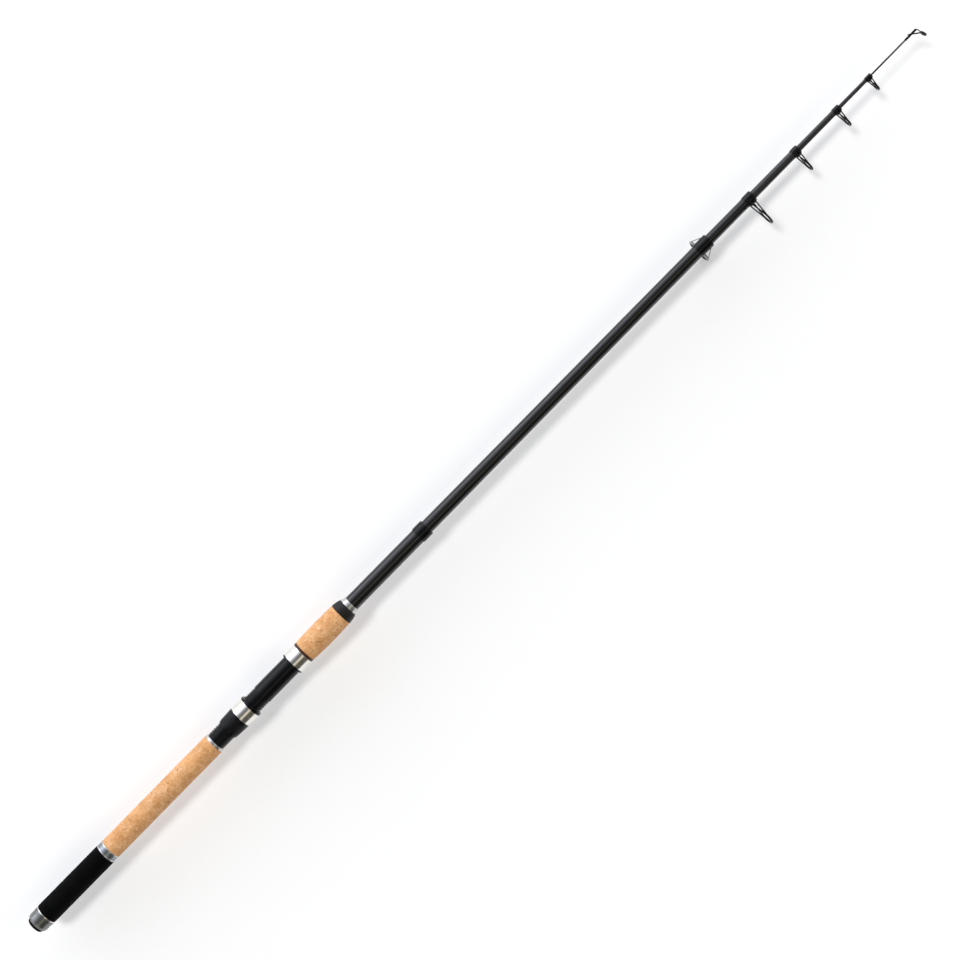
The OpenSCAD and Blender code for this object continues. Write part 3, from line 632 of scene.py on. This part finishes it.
def make_cork(node, seed, outside, rings):
    """A cork grip of glued rings, with its pits and seams in the mesh. outside is its corners."""
    x0, x1 = span(node)
    least = min(r for _, r, _ in outside) - CORK_SKIN
    plain = bored(x0, x1, *outside)
    outline = [p for p in dense(plain, CORK_STEP) if p[1] > least or p in plain]
    pits = cork_pits(seed, x0, x1, outside[0][1])
    seams = [x0 + (x1 - x0) * k / rings for k in range(1, rings)]
    marks = []

    def shape(x, angles, r):
        if r < least or x < x0 + CORK_END_PLAIN or x > x1 - CORK_END_PLAIN:
            marks.append(np.zeros(len(angles)))
            return np.full(len(angles), r)
        depth = pit_depth(pits, x, angles, r)
        seam = max(math.exp(-((x - j) / SEAM_HALF) ** 2) for j in seams)
        marks.append(np.maximum(depth / PIT_DEEP[1], SEAM_MARK * seam))
        return r - CORK_SINK - depth - SEAM_DEEP * seam

    mesh = turned(outline, 216, shape)
    piece(node + "_look", node, mesh, CORK, angle=60, attribute=("pit", np.concatenate(marks)))


def make_corks():
    x0, x1 = span("rear_cork_grip")
    make_cork("rear_cork_grip", CORK_SEED, [(x0, CORK_R, 0.3), (x1, CORK_R, 0.3)], CORK_RINGS)
    x0, x1 = span("fore_cork_grip")
    barrel = []
    for t in np.linspace(0, 1, 13):
        r = FORE_CORK_R + FORE_SWELL * math.sin(math.pi * t)
        barrel.append((x0 + (x1 - x0) * t, r, 0.25 if t in (0, 1) else 0))
    make_cork("fore_cork_grip", FORE_CORK_SEED, barrel, FORE_CORK_RINGS)


# Rings and collars of the handle

TRIM_R, TRIM_RIM, TRIM_DEEP, TRIM_SKIN = 10.55, 1.2, 0.25, 0.5
REAR_CHECK_RIM, REAR_CHECK_RIM_R, REAR_CHECK_END_R = 0.5, 10.3, 9.6
WOOD_R = 11.05
COLLAR_RIM, COLLAR_RIM_R = 0.5, 11.38
COLLAR_SIDE, COLLAR_SIDE_R = 4.0, 10.68
COLLAR_NOSE, COLLAR_NOSE_R = 1.6, 10.08
COLLAR_FACE_R, COLLAR_MOUTH_R = 9.2, 8.2
CHECK_R, CHECK_RIM, CHECK_RIM_R, CHECK_END_WALL = 9.0, 0.7, 8.93, 0.4


def make_trim_ring():
    x0, x1 = span("grip_trim_ring")
    left, right, floor_r = x0 + TRIM_RIM, x1 - TRIM_RIM, TRIM_R - TRIM_DEEP
    verts, faces = turned(bored(
        x0, x1, (x0, TRIM_R, 0.45), (left, TRIM_R, 0.12), (left + TRIM_DEEP, floor_r, 0.08),
        (right - TRIM_DEEP, floor_r, 0.08), (right, TRIM_R, 0.12), (x1, TRIM_R, 0.45)), 128)
    middle = [0.5 * (min(verts[i][0] for i in f) + max(verts[i][0] for i in f)) for f in faces]
    in_band = [int(left < m < right and np.hypot(*verts[f[0]][1:]) > TRIM_R - TRIM_SKIN)
               for m, f in zip(middle, faces)]
    piece("grip_trim_ring_look", "grip_trim_ring", (verts, faces), SATIN, BAND, face_material=in_band)


def make_ring(node, look, corners):
    """A plain ring on the handle. corners(x0, x1) gives its outside."""
    x0, x1 = span(node)
    piece(node + "_look", node, turned(bored(x0, x1, *corners(x0, x1)), 128), look)


def make_rings():
    make_ring("rear_winding_check", SATIN, lambda x0, x1: [
        (x0, CORK_R, 0.1), (x0 + REAR_CHECK_RIM, REAR_CHECK_RIM_R, 0.3), (x1, REAR_CHECK_END_R, 0.15)])
    make_ring("fore_trim_ring", WOOD, lambda x0, x1: [(x0, WOOD_R, 0.25), (x1, WOOD_R, 0.25)])
    make_ring("fore_end_collar", CHARCOAL, lambda x0, x1: [
        (x0, FORE_CORK_R, 0.1), (x0 + COLLAR_RIM, COLLAR_RIM_R, 0.25),
        (x1 - COLLAR_SIDE, COLLAR_SIDE_R, 4.0), (x1 - COLLAR_NOSE, COLLAR_NOSE_R, 2.0),
        (x1, COLLAR_FACE_R, 0.2), (x1, COLLAR_MOUTH_R, 0)])
    make_ring("front_winding_check", SATIN, lambda x0, x1: [
        (x0, CHECK_R, 0.05), (x0 + CHECK_RIM, CHECK_RIM_R, 0.3),
        (x1, handle_radius(x1) + GLUE + CHECK_END_WALL, 0.2)])


# Reel seat barrel: a thread, a plain part and a keyway underneath

SEAT_X, SEAT_END = span("reel_seat_body")
SEAT_R, SEAT_BORE, SEAT_SKIN = 9.6, 8.24, 0.3
THREAD_CREST, THREAD_ROOT, THREAD_NOSE = 9.5, 8.8, 0.15
THREAD_X, THREAD_PITCH, THREAD_TURNS = SEAT_X + 1.1, 2.7, 21
THREAD_END = THREAD_X + THREAD_PITCH * THREAD_TURNS
THREAD_RUNOUT, THREAD_FADE, THREAD_STEP, THREAD_FROM_END = 0.6, 0.8, 0.18, 0.4
RISE_X, RISE_END = THREAD_END + 1.0, THREAD_END + 1.6
KEYWAY_HALF, KEYWAY_DEEP, KEYWAY_END, KEYWAY_LEAST_SIN = 2.0, 1.0, SEAT_X + 69.7, 0.2


def make_seat():
    thread_low, thread_high = THREAD_X - THREAD_RUNOUT, THREAD_END + THREAD_RUNOUT

    def shape(x, angles, r):
        radii = np.full(len(angles), r)
        if r < SEAT_BORE + SEAT_SKIN:
            return radii
        if thread_low < x < thread_high:
            height = ridge(helix(x, angles, THREAD_X, THREAD_PITCH))
            fade = clamp(min(x - thread_low, thread_high - x) / THREAD_FADE)
            radii = THREAD_ROOT + (THREAD_CREST - THREAD_ROOT) * height * fade
        y, z = radii * np.cos(angles), radii * np.sin(angles)
        cut = (np.abs(y) < KEYWAY_HALF) & (z < 0)
        if x < KEYWAY_END:
            floor = (SEAT_R - KEYWAY_DEEP) / np.maximum(-np.sin(angles), KEYWAY_LEAST_SIN)
            radii = np.where(cut, np.minimum(radii, floor), radii)
        return radii

    thread = [(x, THREAD_ROOT) for x in np.arange(SEAT_X + THREAD_FROM_END, thread_high, THREAD_STEP)]
    barrel = soften([
        (RISE_X, THREAD_ROOT, 0.2), (RISE_END, SEAT_R, 0.2), (SEAT_END, SEAT_R, 0), (SEAT_END, SEAT_BORE, 0),
        (SEAT_X, SEAT_BORE, 0), (SEAT_X, THREAD_ROOT - THREAD_NOSE, 0)])
    piece("reel_seat_look", "reel_seat_body", turned(thread + barrel, 192, shape), SEAT, angle=30)


# Lock nut with flutes round its flared side

NUT_BORE, NUT_R, NUT_SHOULDER_R, NUT_WIDE_R, NUT_MOUTH_R = 9.75, 10.2, 10.6, 11.25, 11.28
NUT_SHOULDER, NUT_WIDE, NUT_STEP = 2.0, 1.0, 0.5
FLUTES, FLUTE_DEEP, FLUTE_LEAST_R, FLUTE_EASE = 30, 0.22, 10.0, 1.2
FLUTE_FROM_REAR, FLUTE_FROM_MOUTH, FLUTE_SHARP = 2.4, 1.6, 1.6


def make_nut():
    x0, x1 = span("lock_nut")
    low, high = x0 + FLUTE_FROM_REAR, x1 - FLUTE_FROM_MOUTH

    def shape(x, angles, r):
        if r < FLUTE_LEAST_R:
            return np.full(len(angles), r)
        ease = clamp(min(x - low, high - x) / FLUTE_EASE)
        groove = np.clip(np.cos(angles * FLUTES) * FLUTE_SHARP + 1 - FLUTE_SHARP, 0, 1)
        return r - FLUTE_DEEP * ease * groove

    outline = dense(soften([
        (x0, NUT_BORE, 0.1), (x0, NUT_R, 0.2), (x0 + NUT_SHOULDER, NUT_SHOULDER_R, 0.8),
        (x1 - NUT_WIDE, NUT_WIDE_R, 0.4), (x1, NUT_MOUTH_R, 0.3), (x1, NUT_BORE, 0.1)]), NUT_STEP)
    piece("lock_nut_look", "lock_nut", turned(outline, 240, shape), SEAT, angle=30)


# Hoods: a steel shell, and a plastic liner with a blind foot pocket under its bore

POCKET_HALF, POCKET_LOW, POCKET_ROUND, POCKET_BLIND = 4.5, 12.0, 2.5, 2.0
HOOD_R, STEEL_CORNER, STEEL_WALL, STEEL_STEP = 11.15, 3.92, 0.5, 1.5
LINER_R, LINER_CORNER, LINER_EDGE = 10.63, 3.4, 0.15
LIP_PROUD, LIP_FRONT_EDGE, LIP_BACK_EDGE = 0.2, 0.3, 0.2
SLIDING_HOOD_CLEAR, FIXED_HOOD_CLEAR = 0.3, 0.02
# Points of the lip's rounded edges, as shares of the edge: along X, and in from the outside
FRONT_BEND, BACK_START, BACK_BEND = 0.3, 0.05, (0.4, 0.25)
# Normals of a hood's outline start this far round from Y
HOOD_FIRST_ANGLE = 0.01
PARALLEL, TOUCH = 1e-12, 1e-9


def hood_outline(r, corner, count=144):
    """Points of a hood's outline: a round barrel drawn down over the foot pocket, one for each normal."""
    discs = [((0.0, 0.0), r), ((POCKET_HALF, -POCKET_LOW), corner), ((-POCKET_HALF, -POCKET_LOW), corner)]
    points = []
    for a in np.linspace(0, TURN, count, endpoint=False) + HOOD_FIRST_ANGLE:
        n = np.array([math.cos(a), math.sin(a)])
        centre, size = max(discs, key=lambda d: d[0][0] * n[0] + d[0][1] * n[1] + d[1])
        points.append(np.array(centre) + size * n)
    return np.array(points)


def at_x(x, points):
    return np.concatenate([np.full((len(points), 1), x), points], 1)


def make_hood_steel(node):
    x0, x1 = span(node)
    rounded = soften([(x0, 0.0, 0.22), (x1, 0.0, 0.22), (x1, -STEEL_WALL, 0.1), (x0, -STEEL_WALL, 0.1)])
    rings = [at_x(x, hood_outline(HOOD_R + off, STEEL_CORNER + off))
             for x, off in dense(rounded, STEEL_STEP)]
    piece(node + "_look", node, loft(rings), BRIGHT, angle=30)


def polar(points, angles):
    """Radius of a convex outline round the axis, in each direction."""
    edge = np.roll(points, -1, axis=0) - points
    out = []
    for a in angles:
        d = np.array([math.cos(a), math.sin(a)])
        cross = d[0] * edge[:, 1] - d[1] * edge[:, 0]
        cross = np.where(np.abs(cross) < PARALLEL, PARALLEL, cross)
        far = (points[:, 0] * edge[:, 1] - points[:, 1] * edge[:, 0]) / cross
        along = (points[:, 0] * d[1] - points[:, 1] * d[0]) / cross
        hit = (far > 0) & (along >= -TOUCH) & (along <= 1 + TOUCH)
        out.append(far[hit].max())
    return np.array(out)


def make_hood_liner(node, steel_node, clear, mouth_first):
    """The plastic of a hood: barrel in the steel, flared lip at its mouth, blind pocket under the bore."""
    x0, x1 = span(node)
    steel_x0, steel_x1 = span(steel_node)
    angles = np.linspace(0, TURN, 180, endpoint=False)
    unit = np.stack([np.cos(angles), np.sin(angles)], 1)
    outer = polar(hood_outline(LINER_R, LINER_CORNER, 720), angles)
    lip = polar(hood_outline(HOOD_R + LIP_PROUD, STEEL_CORNER + LIP_PROUD, 720), angles)
    plain = np.full(len(angles), SEAT_R + clear)
    hollow = np.maximum(polar(hood_outline(SEAT_R, POCKET_ROUND, 720), angles), plain)
    # Distances from the blind end, and radii, round the wall of the liner
    back = steel_x1 - steel_x0
    front = back + ((steel_x0 - x0) if mouth_first else (x1 - steel_x1))
    bend_along, bend_in = BACK_BEND
    loop = [
        (0.0, plain), (0.0, outer - LINER_EDGE), (LINER_EDGE, outer), (back, outer),
        (back + LIP_BACK_EDGE * BACK_START, lip - LIP_BACK_EDGE),
        (back + LIP_BACK_EDGE * bend_along, lip - LIP_BACK_EDGE * bend_in), (back + LIP_BACK_EDGE, lip),
        (front - LIP_FRONT_EDGE, lip),
        (front - LIP_FRONT_EDGE * FRONT_BEND, lip - LIP_FRONT_EDGE * FRONT_BEND),
        (front, lip - LIP_FRONT_EDGE), (front, hollow + LINER_EDGE), (front - LINER_EDGE, hollow),
        (POCKET_BLIND, hollow), (POCKET_BLIND, plain)]
    end, way = (x1, -1) if mouth_first else (x0, 1)
    rings = [at_x(end + way * t, unit * radii[:, None]) for t, radii in loop]
    piece(node + "_look", node, loft(rings), PLASTIC, angle=30)


def make_reel_seat():
    make_seat()
    make_nut()
    make_hood_steel("sliding_hood_steel")
    make_hood_steel("fixed_hood_steel")
    make_hood_liner("sliding_hood_liner", "sliding_hood_steel", SLIDING_HOOD_CLEAR, False)
    make_hood_liner("fixed_hood_liner", "fixed_hood_steel", FIXED_HOOD_CLEAR, True)


# Sections: glossy and plain near the handle, matt with the fine ribs of their winding tape further out

FIRST_RIBBED = 4
RIB_DEEP, RIB_PITCH, RIB_STEP, RIB_FROM_END = 0.018, 1.5, 0.25, 0.3
# Ribs start this far inside the mouth of the section before
RIB_HIDDEN = 4
TUBE_EDGE, BORE_EDGE, TUBE_SKIN = 0.12, 0.05, 0.05
# Points of the outline's rear end that are outside: how near to the end, and how deep below the mean radius
REAR_END, REAR_SKIN = 1, 0.4


def make_tube(k):
    x0, x1 = span(TUBE[k])
    r0, r1 = tube_radius(k, x0), tube_radius(k, x1)
    ribbed = k >= FIRST_RIBBED
    if k == LAST:
        corners = [(x0, 0, 0), (x0, r0, TUBE_EDGE), (x1, r1, TUBE_EDGE), (x1, 0, 0)]
    else:
        wall = HANDLE_WALL if k == 1 else WALL
        corners = [(x0, r0 - wall, BORE_EDGE), (x0, r0, TUBE_EDGE),
                   (x1, r1, TUBE_EDGE), (x1, r1 - wall, BORE_EDGE)]
    outline = soften(corners, 3)

    def shape(x, angles, r):
        if r < tube_radius(k, x) - TUBE_SKIN:
            return np.full(len(angles), r)
        return r - RIB_DEEP * (0.5 - 0.5 * np.cos(TURN * (x / RIB_PITCH) - angles)) ** 2

    if ribbed:
        shown = span(TUBE[k - 1])[1] - RIB_HIDDEN
        outside = (r0 + r1) / 2 - REAR_SKIN
        rear = max(j for j, (x, r) in enumerate(outline) if r > outside and x < x0 + REAR_END)
        fine = [(x, tube_radius(k, x)) for x in np.arange(shown, x1 - RIB_FROM_END, RIB_STEP)]
        mesh = turned(outline[:rear + 1] + fine + outline[rear + 1:], 64, shape)
    else:
        mesh = turned(outline, 96)
    name = "section_%d_look" % k if k > 1 else "handle_tube_look"
    piece(name, TUBE[k], mesh, MATTE if ribbed else GLOSS, angle=30)


# Collar at the end of the handle, with a fine groove near each end

END_COLLAR_WALL, END_COLLAR_REAR_DROP, END_COLLAR_MOUTH_DROP = 0.7, 0.1, 0.04
END_GROOVE_REAR, END_GROOVE_MOUTH, END_GROOVE_HALF, END_GROOVE_DEEP = 1.5, 1.7, 0.2, 0.12


def make_end_collar():
    x0, x1 = span("handle_end_collar")
    bore = handle_radius(x0) + GLUE
    r = bore + END_COLLAR_WALL
    grooves = []
    for x in (x0 + END_GROOVE_REAR, x1 - END_GROOVE_MOUTH):
        grooves += [(x - END_GROOVE_HALF, r, 0.05), (x, r - END_GROOVE_DEEP, 0.05),
                    (x + END_GROOVE_HALF, r, 0.05)]
    outline = soften([
        (x0, bore, 0), (x0, r - END_COLLAR_REAR_DROP, 0.25), *grooves,
        (x1, r - END_COLLAR_MOUTH_DROP, 0.3), (x1, bore, 0)])
    piece("handle_end_collar_look", "handle_end_collar", turned(outline, 128), PLASTIC, angle=30)


# Guides: a collar with a saddle, four flat legs, a band and a ceramic ring

COLLAR_WALL, SKIRT_WALL, COLLAR_CLEAR, COLLAR_STEP, COLLAR_SKIN = 0.6, 0.3, 0.03, 0.35, 0.05
SADDLE_DROP, SADDLE_MARGIN, SADDLE_EASE, BEVEL = 1.1, 0.3, 0.35, 0.2
LEG_W, LEG_T, LEG_FOOT, LEG_SINK, LEG_STEPS = 1.2, 0.8, 0.8, 0.08, 25
BAND_W, BAND_WALL = 1.5, 0.95
RING_W, RING_WALL, RING_LAND, SEATED = 1.8, 0.9, 0.6, 0.02
# Guides 1 to 5: bore of the ring, height of its axis, swing, legs' spread, skirt and setback
GUIDES = {
    1: (20.3, 27.0, 1.5, 8.2, 3.0, 1.5),
    2: (12.8, 22.0, 88, 5.6, 0.8, 0.0),
    3: (9.3, 16.0, 83, 4.0, 0.8, 0.0),
    4: (7.3, 13.7, 83, 4.0, 0.8, 0.0),
    5: (4.8, 10.6, 82, 3.8, 0.8, 0.0),
}


def swung(mesh, swing):
    """A mesh turned about X from straight down towards -Y."""
    verts, faces = mesh
    a = -math.radians(swing)
    c, s = math.cos(a), math.sin(a)
    y, z = verts[:, 1], verts[:, 2]
    return np.stack([verts[:, 0], y * c - z * s, y * s + z * c], 1), faces


def moved(mesh, x, z, lean=0.0):
    """A mesh made about X, leaned forward about Y and moved."""
    verts, faces = mesh
    a = math.radians(-lean)
    c, s = math.cos(a), math.sin(a)
    vx, vz = verts[:, 0] * c + verts[:, 2] * s, -verts[:, 0] * s + verts[:, 2] * c
    return np.stack([vx + x, verts[:, 1], vz + z], 1), faces


def ring_mesh(bore):
    r0, r1 = bore / 2, bore / 2 + RING_WALL
    edge = (RING_W - RING_LAND) / 2
    return turned(soften([(-RING_W / 2, r0, edge), (RING_W / 2, r0, edge), (RING_W / 2, r1, 0.25),
                          (-RING_W / 2, r1, 0.25)], 7), 96)


def band_mesh(bore):
    r0 = bore / 2 + RING_WALL + SEATED
    r1 = r0 + BAND_WALL
    return turned(soften([(-BAND_W / 2, r0, 0.1), (-BAND_W / 2, r1, 0.3), (BAND_W / 2, r1, 0.3),
                          (BAND_W / 2, r0, 0.1)]), 96)


def guide_collar_mesh(x0, x1, mid, inner, spread, skirt):
    """A collar that swells downwards into a saddle under the feet of the legs."""
    r = inner + COLLAR_WALL
    step = x0 + skirt
    saddle_half = (spread + LEG_W) / 2 + SADDLE_MARGIN

    def shape(x, angles, radius):
        if radius < inner + COLLAR_SKIN:
            return np.full(len(angles), radius)
        down = -np.sin(angles)
        low = SADDLE_DROP * down + np.sqrt((r - BEVEL) ** 2 - (SADDLE_DROP * np.cos(angles)) ** 2)
        ease = smooth(clamp((saddle_half + SADDLE_EASE - abs(x - mid)) / (2 * SADDLE_EASE)))
        return radius + np.maximum(low - radius, 0) * ease

    outline = soften([
        (x0, inner, 0), (x0, inner + SKIRT_WALL, 0.1), (step, inner + SKIRT_WALL, 0.08), (step, r, 0.2),
        (x1, r, 0.25), (x1, inner, 0)])
    return turned(dense(outline, COLLAR_STEP), 96, shape)


def guide_leg_meshes(mid, near_r, far_r, height, spread):
    """Four flat legs that leave the collar as tangents, spread along X, and meet on the band."""
    lift = math.asin((far_r - near_r) / height)
    run = height * math.cos(lift)
    legs = []
    for mirror in (1, -1):
        start = np.array([0, mirror * near_r * math.cos(lift), near_r * math.sin(lift)])
        along = np.array([0, mirror * math.sin(lift), -math.cos(lift)])
        normal = np.array([0, mirror * math.cos(lift), math.sin(lift)])
        for end in (1, -1):
            near, far = end * spread / 2, end * (BAND_W - LEG_W) / 2
            path = []
            for t in np.linspace(0, 1, LEG_STEPS):
                s = -LEG_FOOT + (run + LEG_W / 2 + LEG_FOOT) * t
                x = mid + near + (far - near) * clamp((s + LEG_FOOT) / (run + LEG_FOOT))
                path.append(start + along * s - normal * (LEG_T / 2) + np.array([x, 0, 0]))
            legs.append(strip(path, np.array([1.0, 0, 0]), normal, LEG_W, LEG_T))
    return legs


def make_guide(g):
    bore, height, swing, spread, skirt, setback = GUIDES[g]
    node = "guide_%d_" % g
    x0, x1 = span(node + "collar_ring")
    mid = (x0 + x1) / 2 - setback
    inner = tube_radius(g + 1, x0) + COLLAR_CLEAR
    collar = guide_collar_mesh(x0, x1, mid, inner, spread, skirt)
    piece(node + "collar_look", node + "collar_ring", swung(collar, swing), PLASTIC, angle=35)

    near_r = inner + COLLAR_WALL + SEATED + LEG_T
    far_r = bore / 2 + RING_WALL + SEATED + BAND_WALL - LEG_SINK
    band = moved(band_mesh(bore), mid, -height)
    legs = guide_leg_meshes(mid, near_r, far_r, height, spread)
    look = FRAME_GREY if g == 1 else FRAME_BLACK
    piece(node + "frame_look", node + "frame", swung(join(band, *legs), swing), look, angle=35)
    ring = moved(ring_mesh(bore), mid, -height)
    piece(node + "ring_look", node + "ring", swung(ring, swing), CERAMIC, angle=35)


# Tip guide: a tube over the tip, a leaning ring in a band, a wire to its top and two braces to its sides

TIP_BORE, TIP_HEIGHT, TIP_AHEAD, TIP_LEAN, TIP_SWING = 2.8, 7.4, 2.6, 14, 86
TIP_WIRE, TIP_BRACE_BACK, TIP_BRACE_RISE, TIP_BRACE_ANGLE = 0.9, 8.4, 2.0, 50
TIP_TUBE_WALL, TIP_TUBE_DEEP = 0.25, 0.3
CROWN_ROOT, CROWN_BEND, CROWN_RISE = 0.3, 1.0, 0.1
BRACE_SIZE, BRACE_START = 0.85, 0.04


def arc(a, b, c, count=14):
    """Points of a smooth bend from a to c that leans towards b."""
    a, b, c = (np.array(p, float) for p in (a, b, c))
    return [a * (1 - t) ** 2 + 2 * b * t * (1 - t) + c * t * t for t in np.linspace(0, 1, count)]


def make_tip_guide():
    x0, x1 = span("tip_guide_tube")
    tip = span(TUBE[LAST])[1]
    bore = tube_radius(LAST, x0) + COLLAR_CLEAR
    r = bore + TIP_TUBE_WALL
    floor_x = tip + TIP_TUBE_DEEP
    outline = soften([
        (x0, bore, 0.04), (x0, r, 0.12), (x1, r, 0.5), (x1, 0, 0), (floor_x, 0, 0), (floor_x, bore, 0)])
    piece("tip_tube_look", "tip_guide_tube", turned(outline, 48), FRAME_BLACK, angle=35)

    ring_x, wire_r = tip + TIP_AHEAD, TIP_WIRE / 2
    band = TIP_BORE / 2 + RING_WALL + SEATED + BAND_WALL - wire_r
    lean = math.radians(TIP_LEAN)
    crown = (ring_x - band * math.sin(lean), 0, -TIP_HEIGHT + band * math.cos(lean))
    parts = [
        moved(band_mesh(TIP_BORE), ring_x, -TIP_HEIGHT, TIP_LEAN),
        wire(arc((x1 - CROWN_ROOT, 0, 0), (x1 + CROWN_BEND, 0, CROWN_RISE), crown), wire_r)]
    a = math.radians(TIP_BRACE_ANGLE)
    low = band * math.cos(a)
    side_y, end_y = r + SEATED + wire_r, band * math.sin(a)
    end_z = -TIP_HEIGHT + low * math.cos(lean)
    foot_y = side_y + (end_y - side_y) * TIP_BRACE_RISE / end_z
    for side in (1, -1):
        foot = np.array([tip - TIP_BRACE_BACK, side * foot_y, TIP_BRACE_RISE])
        end = np.array([ring_x - low * math.sin(lean), side * end_y, end_z])
        path = [foot + (end - foot) * t for t in np.linspace(BRACE_START, 1, 14)]
        parts.append(wire(path, wire_r * BRACE_SIZE))
    piece("tip_frame_look", "tip_guide_frame", swung(join(*parts), TIP_SWING), FRAME_BLACK, angle=35)
    ring = moved(ring_mesh(TIP_BORE), ring_x, -TIP_HEIGHT, TIP_LEAN)
    piece("tip_ring_look", "tip_guide_ring", swung(ring, TIP_SWING), CERAMIC, angle=35)


# Building the rod

make_butt_cap()
make_bumper()
make_foam()
make_trim_ring()
make_corks()
make_rings()
make_reel_seat()
for section in range(1, LAST + 1):
    make_tube(section)
make_end_collar()
for guide in GUIDES:
    make_guide(guide)
make_tip_guide()

# Pieces inside keep their solids
for node, look in (("cap_cushion", RUBBER), ("butt_insert", SATIN), ("seat_bushes", CORK)):
    data = frame["nodes"][node].data
    data.materials.clear()
    data.materials.append(look)

# Floor, light and camera, in metres

FLOOR_Z = cad_box[0].z - 0.0004
FLOOR_HALF = 30.0
# Light of the studio from side to side, -1 straight from -Y and 1 straight from +Y
SKY = [
    (-1.0, (0.1, 0.095, 0.08)), (-0.52, (0.1, 0.095, 0.08)), (-0.42, (0.8, 0.76, 0.62)),
    (-0.22, (0.8, 0.76, 0.62)), (-0.13, (0.16, 0.16, 0.155)), (0.28, (0.185, 0.19, 0.2)),
    (0.5, (0.77, 0.79, 0.86)), (0.7, (1.32, 1.36, 1.5)), (0.88, (2.24, 2.32, 2.56)),
    (1.0, (4.3, 4.46, 4.95))]
# Soft boxes past the two ends of the rod: where along X they start and are full, and their light
END_BOX_X, END_BOX_FULL_X, END_BOX_LIGHT = 0.5, 0.75, 0.42
# Pale backdrop behind the floor: how high it is full and where it ends, and its light
BACKDROP_FULL_Z, BACKDROP_END_Z, BACKDROP_LIGHT = 0.09, 0.13, 0.95
SUN_LIGHT, SUN_WIDE, SUN_TILT = 1.15, 11, (-16, -12, 0)
LENS, SENSOR = 75, 36
CAMERA_AT, CAMERA_TURN = (0.5676, -0.0045, 1.800), -45.496


def make_floor():
    look = Look("floor", Roughness=1.0, Specular_IOR_Level=0.0, Base_Color=(1.0, 1.0, 1.0, 1.0))
    data = bpy.data.meshes.new("floor")
    corners = [(-1, -1), (1, -1), (1, 1), (-1, 1)]
    data.from_pydata([(x * FLOOR_HALF, y * FLOOR_HALF, FLOOR_Z) for x, y in corners], [], [(0, 1, 2, 3)])
    data.materials.append(look.material)
    floor = bpy.data.objects.new("floor", data)
    bpy.context.scene.collection.objects.link(floor)


def make_world():
    world = bpy.data.worlds.new("studio")
    world.use_nodes = True
    sky = Nodes(world.node_tree)
    x, y, z = sky.node("SeparateXYZ", Vector=sky.node("TexCoord").outputs["Generated"]).outputs
    across = sky.ramp(sky.span(y, -1.0, 1.0), *[(0.5 + at / 2, colour) for at, colour in SKY])
    ends = sky.span(sky.math("ABSOLUTE", x), END_BOX_X, END_BOX_FULL_X, 0.0, END_BOX_LIGHT)
    studio = sky.vector_math("ADD", across, i1=ends)
    low = sky.span(z, BACKDROP_FULL_Z, BACKDROP_END_Z, 1.0, 0.0)
    sky.put(sky.mix(low, studio, (BACKDROP_LIGHT,) * 3), sky.tree.nodes["Background"].inputs["Color"])
    bpy.context.scene.world = world


def make_sun():
    sun = bpy.data.lights.new("key", "SUN")
    sun.energy, sun.angle = SUN_LIGHT, math.radians(SUN_WIDE)
    key = bpy.data.objects.new("key", sun)
    key.rotation_euler = [math.radians(a) for a in SUN_TILT]
    key.visible_glossy = False
    bpy.context.scene.collection.objects.link(key)


def make_camera():
    data = bpy.data.cameras.new("camera")
    data.lens, data.sensor_width = LENS, SENSOR
    camera = bpy.data.objects.new("camera", data)
    camera.location = CAMERA_AT
    camera.rotation_euler = (0, 0, math.radians(CAMERA_TURN))
    bpy.context.scene.collection.objects.link(camera)
    bpy.context.scene.camera = camera


make_floor()
make_world()
make_sun()
make_camera()
bpy.context.scene.view_settings.view_transform = "Standard"
